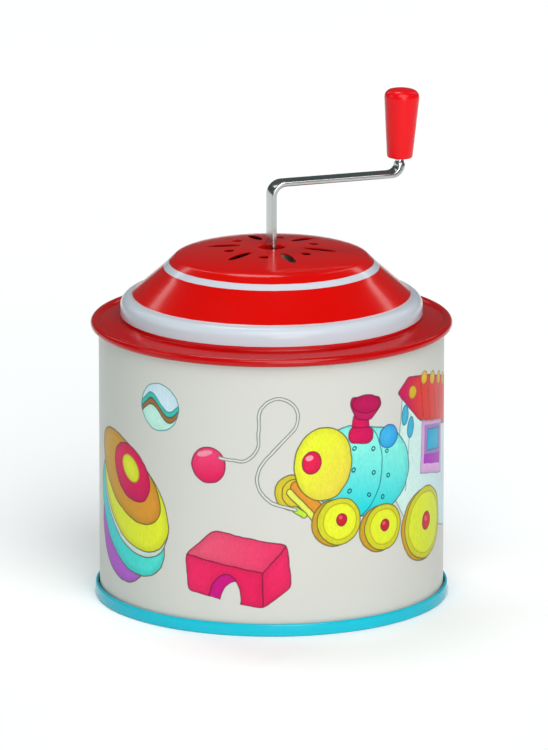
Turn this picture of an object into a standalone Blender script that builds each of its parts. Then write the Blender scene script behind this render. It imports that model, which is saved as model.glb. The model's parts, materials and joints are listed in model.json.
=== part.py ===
"""Hand-cranked tin music box: a printed tin drum with a domed lid and a comb movement inside.

All lengths are millimetres and angles are degrees until an object is made, which is in metres.
The origin is the centre of the base on the surface the tin stands on, +Z is up, and the crank's
arm points along +X.
"""
from math import atan2, ceil, cos, degrees, hypot, pi, radians, sin, tan

import bmesh
import bpy
from mathutils import Matrix, Vector

MM = 0.001
GAP = 0.3                     # air left between pieces that touch on the real object
SHEET = 0.4                   # tinplate

# Tin drum
CAN_RADIUS = 52.0
CAN_TOP = 83.7                # height of the flange that the lid's edge is curled around
TIN_STEPS = 42                # facets round every large tin piece
SEAM_ANGLE = 70.0             # side seam, at the back of the printed drum
SEAM_WIDTH = 4.0
SEAM_PROUD = 0.4

# Base pan
BASE_RADIUS = 53.4
BASE_RIM_HEIGHT = 3.9
BASE_LAND = (51.3, 52.5)      # flat ring that the tin stands on
FLOOR_TOP = 3.0

# Lid
CROWN_TOP = 107.0
CROWN_SPHERE = 137.0
CROWN_EDGE = 28.9
LID_HOLE_RADIUS = 3.9
COLLAR_FOOT = 104.4
BAND_RADIUS = 45.9
TRAY_FOOT = 86.3
LID_BEAD_CENTRE = (53.3, 83.7)
LID_BEAD_RADIUS = 1.2
PETAL_RING = (9.4, 19.8)      # inner and outer ends of the long sound holes
PETAL_WIDTH = 3.0
ROUND_HOLE_RING = 13.5
ROUND_HOLE_RADIUS = 1.5
SOUND_HOLES = 6               # of each kind

# Crank
STRIP_WIDTH = 5.8
STRIP_THICKNESS = 1.5
STRIP_FOOT = 95.4
ARM_HEIGHT = 126.2
ARM_LENGTH = 41.0
LOWER_BEND = 3.8
UPPER_BEND = 3.2
GRIP_LEAN = 2.0
GRIP_FOOT = 131.1
GRIP_HEIGHT = 21.6
GRIP_FOOT_RADIUS = 3.85
GRIP_TOP_RADIUS = 5.4
GRIP_BORE = 1.85
PIN_RADIUS = 1.5
PIN_LENGTH = 16.4             # of the pin inside the grip
CLIP_CHAMBER = (12.8, 17.2)   # heights of the wider chamber in the grip

# Spindle, from the lid down to the movement
HEAD_RADIUS = 3.2
HEAD_TOP = 104.0
HEAD_FOOT = 90.0
SPINDLE_RADIUS = 2.5
SPINDLE_FOOT = 41.4
CROSS_PIN_HEIGHT = 99.0
CROSS_PIN_RADIUS = 0.75
SPINDLE_CLIP_HEIGHT = 93.4
BUSH_FOOT = 94.6
SLEEVE = (34.0, 48.0)
SLEEVE_RADIUS = 4.6

# Worm and wheel
MODULE = 0.8
WHEEL_TEETH = 20
PRESSURE_ANGLE = 20.0
WORM_PITCH_RADIUS = 3.5
WORM_TURNS = 4                # even, so that a thread faces the wheel's middle
WORM_THREAD = 0.85            # thickness of the thread on its pitch line
WHEEL_TOOTH = 1.15            # thickness of a tooth on its pitch line
WHEEL_FACE = 3.0
SHAFT_RADIUS = 1.5
SHAFT_FOOT = 5.6
SHAFT_TOP = 40.7
AXIS_HEIGHT = 18.0            # of the melody cylinder

# Melody cylinder and comb
NOTES = 18
NOTE_PITCH = 1.15
CYLINDER_START = 3.6
CYLINDER_RADIUS = 6.5
CYLINDER_WALL = 0.8
CYLINDER_STEPS = 24
PIN_PROUD = 0.75
PIN_SIZE = 0.45
MELODY_PINS = 32
ARBOR_RADIUS = 1.0
COMB_THICKNESS = 0.8
TINE_WIDTH = 0.85
TINE_ROOTS = (-33.0, -27.0)   # where the lowest and the highest note's tine starts
COMB_BACK = -41.0
COMB_SIDE = 1.0               # comb plate beyond the outer tines
COMB_SCREW_ROW = -37.0

# Bedplate
BED_X = (-10.0, 30.6)
BED_Y = (-41.6, 16.0)
BED_CORNER = 5.0
BED_Z = (FLOOR_TOP + GAP, 6.3)
POST_LEFT = (-7.0, -4.0)
POST_RIGHT = (26.4, 29.4)
POST_HALF_WIDTH = 4.0
POST_TOP = 22.0
RAIL_Y = (-41.0, -33.6)
BED_SCREWS = ((-6.0, 4.0), (27.5, 4.0), (14.0, -30.0))
BRIDGE_SCREWS = ((-3.0, 12.4), (3.0, 12.4))
BOSS_RADIUS = 4.6
FOOTSTEP_RADIUS = 3.0
BRIDGE_BUSH_RADIUS = 2.6
BRIDGE_BUSH_Z = (25.0, 28.0)
ARBOR_BUSH_RADIUS = 1.9
THREAD_HOLE_RADIUS = 1.3

# Screws, as (shank radius, head radius, head height)
COMB_SCREW = (1.0, 2.1, 1.3)
BRIDGE_SCREW = (1.0, 1.9, 1.2)
BED_SCREW = (1.5, 2.8, 1.2)

AXIAL_PITCH = pi * MODULE
WHEEL_PITCH_RADIUS = MODULE * WHEEL_TEETH / 2
AXIS_Y = -(WORM_PITCH_RADIUS + WHEEL_PITCH_RADIUS)
CYLINDER_END = CYLINDER_START + NOTES * NOTE_PITCH
COMB_TIP = AXIS_Y - CYLINDER_RADIUS * cos(pi / CYLINDER_STEPS) - PIN_PROUD - GAP


# Materials

def material(name, colour, roughness, metallic=0.0):
    """A Principled material with one colour, given as linear RGB."""
    made = bpy.data.materials.new(name)
    made.use_nodes = True
    shader = made.node_tree.nodes["Principled BSDF"]
    shader.inputs["Base Color"].default_value = (*colour, 1.0)
    shader.inputs["Roughness"].default_value = roughness
    shader.inputs["Metallic"].default_value = metallic
    made.diffuse_color = (*colour, 1.0)
    return made


# Outlines, as lists of (x, y) points

def arc(centre, radius, start, end, steps):
    """Points along an arc, from one angle to another."""
    angles = [radians(start + (end - start) * i / steps) for i in range(steps + 1)]
    return [(centre[0] + radius * cos(a), centre[1] + radius * sin(a)) for a in angles]


def rounded(corners, widest_step=46.0):
    """A path through corners given as (x, y, fillet radius), with an arc at each fillet."""
    path = [corners[0][:2]]
    for before, corner, after in zip(corners, corners[1:], corners[2:]):
        point = Vector(corner[:2])
        back = (Vector(before[:2]) - point).normalized()
        on = (Vector(after[:2]) - point).normalized()
        half = back.angle(on) / 2
        if corner[2] == 0 or half > radians(89):
            path.append(tuple(point))
            continue
        centre = point + (back + on).normalized() * corner[2] / sin(half)
        first = point + back * corner[2] / tan(half) - centre
        turn = radians(180) - 2 * half
        steps = max(1, ceil(degrees(turn) / widest_step))
        side = 1 if back.x * on.y - back.y * on.x < 0 else -1
        for i in range(steps + 1):
            swung = first.copy()
            swung.rotate(Matrix.Rotation(side * turn * i / steps, 2))
            path.append(tuple(centre + swung))
    path.append(corners[-1][:2])
    return path


def sheet_section(path, thickness):
    """The closed section of a sheet whose one side is the path, and whose other is on its right."""
    other = []
    for i, point in enumerate(path):
        here = Vector(point)
        before = here - Vector(path[i - 1]) if i else None
        after = Vector(path[i + 1]) - here if i + 1 < len(path) else None
        ways = [way.normalized() for way in (before, after) if way]
        along = sum(ways, Vector((0, 0))).normalized()
        stretch = 1 / max(along.dot(ways[0]), 0.5)
        other.append(tuple(here + Vector((along.y, -along.x)) * thickness * stretch))
    return path + other[::-1]


def plate_outline(x, y, radius):
    """A rectangle with rounded corners."""
    corners = ((x[1], y[1], 0), (x[0], y[1], 90), (x[0], y[0], 180), (x[1], y[0], 270))
    points = []
    for corner_x, corner_y, start in corners:
        centre = (corner_x - radius * (1 if corner_x == x[1] else -1),
                  corner_y - radius * (1 if corner_y == y[1] else -1))
        points += arc(centre, radius, start, start + 90, 3)
    return points


def star(count, inner, outer, inner_half, outer_half):
    """A toothed wheel's outline: teeth between two radii, with half widths as angles."""
    points = []
    for tooth in range(count):
        middle = 360 * (tooth + 0.5) / count + 90
        for radius, turn in ((inner, -inner_half), (outer, -outer_half),
                             (outer, outer_half), (inner, inner_half)):
            angle = radians(middle + turn)
            points.append((radius * cos(angle), radius * sin(angle)))
    return points


# Meshes

def add_object(name, bm, made=None, parent=None, location=(0, 0, 0), rotation=(0, 0, 0)):
    """Turn a mesh in millimetres into a named object in metres."""
    bmesh.ops.scale(bm, vec=(MM, MM, MM), verts=bm.verts)
    mesh = bpy.data.meshes.new(name)
    bm.to_mesh(mesh)
    bm.free()
    mesh.shade_smooth()
    mesh.set_sharp_from_angle(angle=radians(35))
    piece = bpy.data.objects.new(name, mesh)
    bpy.context.collection.objects.link(piece)
    piece.parent = parent
    piece.location = Vector(location) * MM
    piece.rotation_euler = [radians(turn) for turn in rotation]
    if made:
        mesh.materials.append(made)
    else:
        piece.display_type = "WIRE"
        piece.hide_render = True
    return piece


def add_empty(name, parent=None, location=(0, 0, 0), rotation=(0, 0, 0)):
    """A joint's axis: an empty that the moving pieces are parented to."""
    empty = bpy.data.objects.new(name, None)
    bpy.context.collection.objects.link(empty)
    empty.parent = parent
    empty.location = Vector(location) * MM
    empty.rotation_euler = [radians(turn) for turn in rotation]
    return empty


def turned_mesh(outline, steps):
    """Revolve a closed outline of (radius, height) about Z."""
    bm = bmesh.new()
    ring = [bm.verts.new((radius, 0, height)) for radius, height in outline]
    edges = [bm.edges.new((ring[i - 1], ring[i])) for i in range(len(ring))]
    edges = [edge for edge in edges if any(vert.co.x > 1e-6 for vert in edge.verts)]
    bmesh.ops.spin(bm, geom=edges, cent=(0, 0, 0), axis=(0, 0, 1), angle=2 * pi,
                   steps=steps, use_merge=True)
    loose = [edge for edge in bm.edges if not edge.link_faces]
    bmesh.ops.delete(bm, geom=loose, context="EDGES")
    bmesh.ops.remove_doubles(bm, verts=bm.verts, dist=1e-4)
    bmesh.ops.recalc_face_normals(bm, faces=bm.faces)
    return bm


def prism_mesh(outline, bottom, top, twist=0.0, layers=1):
    """Extrude a closed outline of (x, y) from one height to another, turning it by twist."""
    bm = bmesh.new()
    face = bm.faces.new([bm.verts.new((x, y, bottom)) for x, y in outline])
    for layer in range(layers):
        grown = bmesh.ops.extrude_face_region(bm, geom=[face], use_keep_orig=True)
        if layer:
            bmesh.ops.delete(bm, geom=[face], context="FACES_ONLY")
        moved = [item for item in grown["geom"] if isinstance(item, bmesh.types.BMVert)]
        face = [item for item in grown["geom"] if isinstance(item, bmesh.types.BMFace)][0]
        bmesh.ops.translate(bm, vec=(0, 0, (top - bottom) / layers), verts=moved)
        bmesh.ops.rotate(bm, cent=(0, 0, 0), verts=moved,
                         matrix=Matrix.Rotation(radians(twist) / layers, 3, "Z"))
    bmesh.ops.recalc_face_normals(bm, faces=bm.faces)
    return bm


def box_mesh(x, y, z):
    """A box between two values on each axis."""
    bm = bmesh.new()
    size = (x[1] - x[0], y[1] - y[0], z[1] - z[0])
    middle = ((x[0] + x[1]) / 2, (y[0] + y[1]) / 2, (z[0] + z[1]) / 2)
    bmesh.ops.create_cube(bm, size=1, matrix=Matrix.LocRotScale(middle, None, size))
    return bm


def rod_mesh(radius, bottom, top, steps=16, centre=(0, 0)):
    """A round bar along Z."""
    bm = bmesh.new()
    place = Matrix.Translation((centre[0], centre[1], (bottom + top) / 2))
    bmesh.ops.create_cone(bm, cap_ends=True, segments=steps, radius1=radius, radius2=radius,
                          depth=top - bottom, matrix=place)
    return bm


def turned(name, outline, made, steps=24, **place):
    """A piece turned from a closed outline of (radius, height)."""
    return add_object(name, turned_mesh(outline, steps), made, **place)


def tube_outline(inner, outer, bottom, top):
    """The section of a plain ring or tube."""
    return [(inner, bottom), (outer, bottom), (outer, top), (inner, top)]


def combine(piece, operation, *others):
    """Cut other objects from a piece, or join them to it, with exact booleans."""
    for other in others:
        step = piece.modifiers.new(operation.lower(), "BOOLEAN")
        step.operation = operation
        step.solver = "EXACT"
        step.object = other


def screw(name, made, x, y, seat, foot, kind, from_below=False):
    """A cheese-head screw along Z: its head stands on the seat and its shank ends at the foot."""
    radius, head_radius, head_height = kind
    way = -1 if from_below else 1
    ease = 0.3
    outline = [(0, foot), (radius, foot), (radius, seat), (head_radius, seat),
               (head_radius, seat + way * (head_height - ease)),
               (head_radius - ease, seat + way * head_height), (0, seat + way * head_height)]
    return turned(name, outline, made, steps=12, location=(x, y, 0))


# The tin

def can_wall(made):
    """The printed drum: a rolled sheet with a turned-out edge at each end and a side seam."""
    outer = CAN_RADIUS
    inner = outer - SHEET
    flange = 0.15
    top = [(outer, CAN_TOP - flange), (outer + 1.3, CAN_TOP - flange),
           (outer + 1.3, CAN_TOP + flange), (inner, CAN_TOP + flange)]
    bottom = [(inner, 0.95), (outer + 0.5, 0.95), (outer + 0.5, 1.3), (outer, 1.3)]
    piece = turned("can_wall", bottom + top, made, TIN_STEPS)
    seam = add_object("seam_form", box_mesh((inner + 0.1, outer + SEAM_PROUD),
                                            (-SEAM_WIDTH / 2, SEAM_WIDTH / 2),
                                            (BASE_RIM_HEIGHT + 1.0, CAN_TOP - 2.5)),
                      rotation=(0, 0, SEAM_ANGLE))
    combine(piece, "UNION", seam)
    return piece


def base_pan(made):
    """The base: a raised floor in a rim that is folded round the drum's lower edge."""
    lower = FLOOR_TOP - SHEET
    rim = BASE_RADIUS
    top = BASE_RIM_HEIGHT
    under = rounded([(0, lower, 0), (50.2, lower, 0), (BASE_LAND[0], 0, 0), (BASE_LAND[1], 0, 0),
                     (rim, 0, 0.8), (rim, top, 0.7), (CAN_RADIUS + 0.5, top, 0)], 50)
    section = sheet_section(under, -SHEET)
    section[-1] = (0, FLOOR_TOP)
    piece = turned("base_pan", section, made, TIN_STEPS)
    holes = [add_object(f"floor_hole_{i}", rod_mesh(BED_SCREW[0] + GAP, 0, 5, 12, place))
             for i, place in enumerate(BED_SCREWS, 1)]
    combine(piece, "DIFFERENCE", *holes)
    return piece


def lid_path():
    """The lid's outer side, from the collar in its middle to the end of the curled bead."""
    crown_centre = (0, CROWN_TOP - CROWN_SPHERE)
    edge_angle = degrees(atan2(CROWN_EDGE, (CROWN_SPHERE ** 2 - CROWN_EDGE ** 2) ** 0.5))
    crown = arc(crown_centre, CROWN_SPHERE, 87.0, 90 - edge_angle, 2)
    mouth_height = crown_centre[1] + (CROWN_SPHERE ** 2 - LID_HOLE_RADIUS ** 2) ** 0.5
    mouth = rounded([(LID_HOLE_RADIUS, COLLAR_FOOT, 0), (LID_HOLE_RADIUS, mouth_height, 0.9),
                     (*crown[0], 0)])
    flare = rounded([(*crown[-2], 0), (CROWN_EDGE + 1.4, 103.4, 2.5), (33.0, 100.2, 0),
                     (42.1, 92.3, 0), (BAND_RADIUS, 91.9, 3.3), (BAND_RADIUS, TRAY_FOOT, 0),
                     (52.4, 84.7, 0)], 35)
    bead = arc(LID_BEAD_CENTRE, LID_BEAD_RADIUS, 100, -150, 6)
    return mouth[:-1] + crown[:-1] + flare[1:-1] + bead


def dome_lid(made):
    """The domed lid: crown, flare, rounded band and tray in one pressing, with sound holes."""
    section = sheet_section(lid_path(), SHEET)
    piece = turned("dome_lid", section, made, TIN_STEPS)
    inner, outer = PETAL_RING
    half = PETAL_WIDTH / 2
    middle = (inner + outer) / 2
    length = (outer - inner) / 2
    petal = [(middle + length * cos(a), half * sin(a)) for a in (i * pi / 6 for i in range(12))]
    low, high = CROWN_TOP - 6, CROWN_TOP + 2
    cutters = []
    for i in range(SOUND_HOLES):
        turn = -90 + 360 * i / SOUND_HOLES
        cutters.append(add_object(f"petal_cutter_{i + 1}", prism_mesh(petal, low, high),
                                  rotation=(0, 0, turn)))
        hole = rod_mesh(ROUND_HOLE_RADIUS, low, high, 8, (ROUND_HOLE_RING, 0))
        cutters.append(add_object(f"hole_cutter_{i + 1}", hole,
                                  rotation=(0, 0, turn + 180 / SOUND_HOLES)))
    combine(piece, "DIFFERENCE", *cutters)
    return piece


def lid_bush(made):
    """The nylon bush pressed on the lid's collar, in which the spindle's head turns."""
    bore = HEAD_RADIUS + GAP
    mouth = LID_HOLE_RADIUS + SHEET + GAP
    shelf = COLLAR_FOOT - GAP
    outline = [(bore, BUSH_FOOT), (6.0, BUSH_FOOT), (6.0, 100.0), (7.0, 101.0), (7.0, shelf + 1.7),
               (mouth, shelf + 1.7), (mouth, shelf), (bore, shelf)]
    return turned("lid_bush", outline, made)


# The crank

def crank_stations():
    """Places along the crank's centre line, as (x, z, direction in degrees, progress to round)."""
    stations = [(0, STRIP_FOOT, 90, 0)]
    turns = 5
    for i in range(turns + 1):
        direction = 90 - 90 * i / turns
        x = LOWER_BEND * (1 - sin(radians(direction)))
        z = ARM_HEIGHT - LOWER_BEND * (1 - cos(radians(direction)))
        stations.append((x, z, direction, 0))
    centre = (ARM_LENGTH - UPPER_BEND, ARM_HEIGHT + UPPER_BEND)
    for i in range(turns + 1):
        direction = (90 - GRIP_LEAN) * i / turns
        x = centre[0] + UPPER_BEND * sin(radians(direction))
        z = centre[1] - UPPER_BEND * cos(radians(direction))
        stations.append((x, z, direction, 0.55 * i / turns))
    x, z, direction, _ = stations[-1]
    lean = radians(direction)
    for height, progress in ((GRIP_FOOT - 0.6, 1), (GRIP_FOOT + PIN_LENGTH, 1)):
        reach = (height - z) / sin(lean)
        stations.append((x + reach * cos(lean), height, direction, progress))
    return stations


def grip_place():
    """The middle of the grip's lower end, on the crank's pin."""
    x, z, direction, _ = crank_stations()[-1]
    return x - (z - GRIP_FOOT) / tan(radians(direction)), GRIP_FOOT


def crank_strip(made, parent):
    """The flat steel strip bent into a crank, its end drawn down to a round pin for the grip."""
    bm = bmesh.new()
    sides = 12
    corner_power = 7.0
    rings = []
    for x, z, direction, progress in crank_stations():
        along = radians(direction)
        half_width = STRIP_WIDTH / 2 + (PIN_RADIUS - STRIP_WIDTH / 2) * progress
        half_thick = STRIP_THICKNESS / 2 + (PIN_RADIUS - STRIP_THICKNESS / 2) * progress
        power = corner_power + (2.0 - corner_power) * progress
        ring = []
        for i in range(sides):
            angle = 2 * pi * (i + 0.5) / sides
            size = (abs(cos(angle)) ** power + abs(sin(angle)) ** power) ** (-1 / power)
            across = half_width * size * cos(angle)
            out = half_thick * size * sin(angle)
            ring.append(bm.verts.new((x - out * sin(along), across, z + out * cos(along))))
        rings.append(ring)
    for lower, upper in zip(rings, rings[1:]):
        for i in range(sides):
            bm.faces.new((lower[i - 1], lower[i], upper[i], upper[i - 1]))
    bm.faces.new(rings[0])
    bm.faces.new(rings[-1])
    bmesh.ops.recalc_face_normals(bm, faces=bm.faces)
    piece = add_object("crank_strip", bm, made, parent)
    hole = add_object("strip_hole", rod_mesh(CROSS_PIN_RADIUS + GAP, -5, 5, 12),
                      parent=parent, location=(0, 0, CROSS_PIN_HEIGHT), rotation=(0, 90, 0))
    combine(piece, "DIFFERENCE", hole)
    return piece


def crank_grip(made, parent):
    """The tapered plastic grip, hollow for its pin and clip, free to spin on the pin."""
    foot = GRIP_FOOT_RADIUS
    top = GRIP_TOP_RADIUS
    low, high = CLIP_CHAMBER
    outside = rounded([(GRIP_BORE, 0, 0), (foot, 0, 0.7), (top, GRIP_HEIGHT - 1.2, 2.2),
                       (0, GRIP_HEIGHT, 0)], 35)
    inside = [(0, high), (3.0, high), (3.0, low), (GRIP_BORE, low)]
    return turned("crank_grip", outside + inside, made, 18, parent=parent)


def grip_clip(made, parent):
    """The push-on washer that keeps the grip on its pin."""
    outline = tube_outline(PIN_RADIUS + GAP, 2.65, CLIP_CHAMBER[0] + 0.6, CLIP_CHAMBER[0] + 1.2)
    return turned("grip_clip", outline, made, 16, parent=parent)


# The spindle

def spindle(made, parent):
    """The long spindle: a slotted head for the crank, and a plain rod down to the coupling."""
    groove = 2.7
    low = SPINDLE_CLIP_HEIGHT - 0.2
    outline = [(0, SPINDLE_FOOT), (SPINDLE_RADIUS, SPINDLE_FOOT), (SPINDLE_RADIUS, HEAD_FOOT),
               (HEAD_RADIUS, HEAD_FOOT), (HEAD_RADIUS, low), (groove, low), (groove, low + 1.1),
               (HEAD_RADIUS, low + 1.1), (HEAD_RADIUS, HEAD_TOP), (0, HEAD_TOP)]
    piece = turned("spindle", outline, made, 20, parent=parent)
    half = STRIP_THICKNESS / 2 + GAP
    slot = add_object("spindle_slot", box_mesh((-half, half), (-5, 5), (STRIP_FOOT - GAP, 110)),
                      parent=parent)
    hole = add_object("spindle_hole", rod_mesh(CROSS_PIN_RADIUS + GAP, -5, 5, 12),
                      parent=parent, location=(0, 0, CROSS_PIN_HEIGHT), rotation=(0, 90, 0))
    combine(piece, "DIFFERENCE", slot, hole)
    return piece


def cross_pin(made, parent):
    """The pin that holds the crank in the spindle's slot."""
    length = HEAD_RADIUS - 0.2
    return add_object("crank_cross_pin", rod_mesh(CROSS_PIN_RADIUS, -length, length, 10), made,
                      parent, location=(0, 0, CROSS_PIN_HEIGHT), rotation=(0, 90, 0))


def spindle_clip(made, parent):
    """The spring clip under the lid's bush, which stops the crank from being pulled out."""
    bm = turned_mesh(tube_outline(2.7 + GAP, 5.2, SPINDLE_CLIP_HEIGHT, SPINDLE_CLIP_HEIGHT + 0.7), 20)
    piece = add_object("spindle_clip", bm, made, parent)
    mouth = add_object("clip_mouth", box_mesh((0, 8), (-1.6, 1.6), (90, 97)), parent=parent)
    combine(piece, "DIFFERENCE", mouth)
    return piece


def coupling(steel, brass, parent):
    """The sleeve and grub screws that join the spindle to the movement's worm shaft."""
    low, high = SLEEVE
    step = SHAFT_TOP + GAP
    outline = [(SHAFT_RADIUS + GAP, low), (SLEEVE_RADIUS, low), (SLEEVE_RADIUS, high),
               (SPINDLE_RADIUS + GAP, high), (SPINDLE_RADIUS + GAP, step), (SHAFT_RADIUS + GAP, step)]
    sleeve = turned("coupling_sleeve", outline, brass, 20, parent=parent)
    levels = {"lower": ((low + step) / 2, SHAFT_RADIUS), "upper": ((step + high) / 2, SPINDLE_RADIUS)}
    for name, (height, shaft) in levels.items():
        place = {"parent": parent, "location": (0, 0, height), "rotation": (0, 90, 0)}
        add_object(f"coupling_screw_{name}", rod_mesh(1.0, shaft + GAP, SLEEVE_RADIUS + 0.6, 10),
                   steel, **place)
        hole = add_object(f"sleeve_hole_{name}", rod_mesh(1.0 + GAP, 0.5, 6, 10), **place)
        combine(sleeve, "DIFFERENCE", hole)


def worm_shaft(made, parent):
    """The shaft with the single-start, right-handed worm that turns the melody cylinder."""
    slope = tan(radians(PRESSURE_ANGLE))
    root = WORM_PITCH_RADIUS - 1.0
    tip = WORM_PITCH_RADIUS + 0.75
    reach = WORM_TURNS * AXIAL_PITCH / 2
    journal = 9.0
    core_top = AXIS_HEIGHT + reach + 1.6
    outline = [(0, SHAFT_FOOT), (SHAFT_RADIUS, SHAFT_FOOT), (SHAFT_RADIUS, journal), (root, journal),
               (root, core_top), (SHAFT_RADIUS, core_top), (SHAFT_RADIUS, SHAFT_TOP), (0, SHAFT_TOP)]
    piece = turned("worm_shaft", outline, made, 20, parent=parent)
    bm = bmesh.new()
    corners = []
    for radius, side in ((root - 0.3, -1), (tip, -1), (tip, 1), (root - 0.3, 1)):
        half = WORM_THREAD / 2 + (WORM_PITCH_RADIUS - radius) * slope
        corners.append(bm.verts.new((0, -radius, AXIS_HEIGHT - reach + side * half)))
    edges = [bm.edges.new((corners[i - 1], corners[i])) for i in range(4)]
    per_turn = 16
    bmesh.ops.spin(bm, geom=edges, cent=(0, 0, 0), axis=(0, 0, 1), angle=2 * pi * WORM_TURNS,
                   steps=per_turn * WORM_TURNS, dvec=(0, 0, AXIAL_PITCH / per_turn))
    ends = [edge for edge in bm.edges if edge.is_boundary]
    bmesh.ops.holes_fill(bm, edges=ends, sides=4)
    bmesh.ops.recalc_face_normals(bm, faces=bm.faces)
    thread = add_object("worm_thread_form", bm, parent=parent)
    combine(piece, "UNION", thread)
    return piece


# The melody cylinder, built about Z and laid along X

def worm_wheel(made, parent):
    """The helical wheel on the cylinder's end, with a hub that plugs into the cylinder."""
    slope = tan(radians(PRESSURE_ANGLE))
    tip = WHEEL_PITCH_RADIUS + 0.75
    root = WHEEL_PITCH_RADIUS - 1.0
    tip_half = degrees((WHEEL_TOOTH / 2 - 0.75 * slope) / tip)
    root_half = degrees((WHEEL_TOOTH / 2 + 1.0 * slope) / root)
    lead = degrees(WHEEL_FACE * AXIAL_PITCH / (2 * pi * WORM_PITCH_RADIUS) / WHEEL_PITCH_RADIUS)
    outline = star(WHEEL_TEETH, root, tip, root_half, tip_half)
    bm = prism_mesh(outline, -WHEEL_FACE / 2, WHEEL_FACE / 2, lead, 2)
    bmesh.ops.rotate(bm, cent=(0, 0, 0), matrix=Matrix.Rotation(radians(-lead / 2), 3, "Z"),
                     verts=bm.verts)
    piece = add_object("worm_wheel", bm, made, parent)
    hub_radius = CYLINDER_RADIUS - CYLINDER_WALL - GAP
    hub = add_object("wheel_hub_form", rod_mesh(hub_radius, 0, CYLINDER_START + 3, 24), parent=parent)
    bore = add_object("wheel_bore", rod_mesh(ARBOR_RADIUS + GAP, -5, 12, 12), parent=parent)
    combine(piece, "UNION", hub)
    combine(piece, "DIFFERENCE", bore)
    return piece


def melody_cylinder(made, parent):
    """The brass cylinder, with the pins that pluck the comb."""
    inner = CYLINDER_RADIUS - CYLINDER_WALL
    levels = [CYLINDER_START + NOTE_PITCH * i for i in range(NOTES + 1)]
    outline = [(inner, levels[-1]), (inner, levels[0])] + [(CYLINDER_RADIUS, z) for z in levels]
    bm = turned_mesh(outline, CYLINDER_STEPS)
    wanted = {((5 * i + i // 4) % NOTES, (7 * i) % CYLINDER_STEPS) for i in range(MELODY_PINS)}
    chosen = []
    for face in bm.faces:
        middle = face.calc_center_median()
        if hypot(middle.x, middle.y) < CYLINDER_RADIUS - 0.3:
            continue
        note = int((middle.z - CYLINDER_START) / NOTE_PITCH)
        column = int((degrees(atan2(middle.y, middle.x)) % 360) / (360 / CYLINDER_STEPS))
        if (note, column) in wanted:
            chosen.append(face)
    margin = (NOTE_PITCH - PIN_SIZE) / 2
    bmesh.ops.inset_individual(bm, faces=chosen, thickness=margin)
    grown = bmesh.ops.extrude_discrete_faces(bm, faces=chosen)
    for face in grown["faces"]:
        bmesh.ops.translate(bm, vec=face.normal * PIN_PROUD, verts=face.verts)
    return add_object("melody_cylinder", bm, made, parent)


def cylinder_cap(made, parent):
    """The moulded plug in the cylinder's far end."""
    outer = CYLINDER_RADIUS - CYLINDER_WALL - GAP
    bore = ARBOR_RADIUS + GAP
    end = CYLINDER_END
    outline = [(bore, end - 3), (outer, end - 3), (outer, end + GAP), (CYLINDER_RADIUS, end + GAP),
               (CYLINDER_RADIUS, end + 0.9), (bore, end + 0.9)]
    return turned("cylinder_cap", outline, made, parent=parent)


def cylinder_arbor(made, parent):
    """The steel arbor that the wheel and the cylinder are fixed to."""
    return add_object("cylinder_arbor", rod_mesh(ARBOR_RADIUS, POST_LEFT[0] - 0.6,
                                                 POST_RIGHT[1] + 0.6), made, parent)


# The comb

def note_position(note):
    """Where along X a note's tine and pins are."""
    return CYLINDER_START + NOTE_PITCH * (note + 0.5)


def comb(made):
    """The steel comb: one tine for each note, longest at the low end."""
    half = TINE_WIDTH / 2
    left = note_position(0) - half - COMB_SIDE
    right = note_position(NOTES - 1) + half + COMB_SIDE
    low, high = TINE_ROOTS
    outline = [(left, low), (left, COMB_BACK), (right, COMB_BACK), (right, high)]
    for note in reversed(range(NOTES)):
        x = note_position(note)
        root = low + (high - low) * note / (NOTES - 1)
        outline += [(x + half, root), (x + half, COMB_TIP), (x - half, COMB_TIP), (x - half, root)]
    bottom = AXIS_HEIGHT - COMB_THICKNESS / 2
    piece = add_object("comb", prism_mesh(outline, bottom, bottom + COMB_THICKNESS), made)
    hole_radius = COMB_SCREW[0] + GAP
    holes = [add_object(f"comb_hole_{i}", rod_mesh(hole_radius, 10, 25, 12, (x, COMB_SCREW_ROW)))
             for i, x in enumerate(comb_screw_places(), 1)]
    combine(piece, "DIFFERENCE", *holes)
    return piece


def comb_screw_places():
    """Where along X the comb's three screws are."""
    middle = (note_position(0) + note_position(NOTES - 1)) / 2
    return [middle + offset for offset in (-8.0, 0.0, 8.0)]


# The bedplate and what is fixed to it

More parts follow.
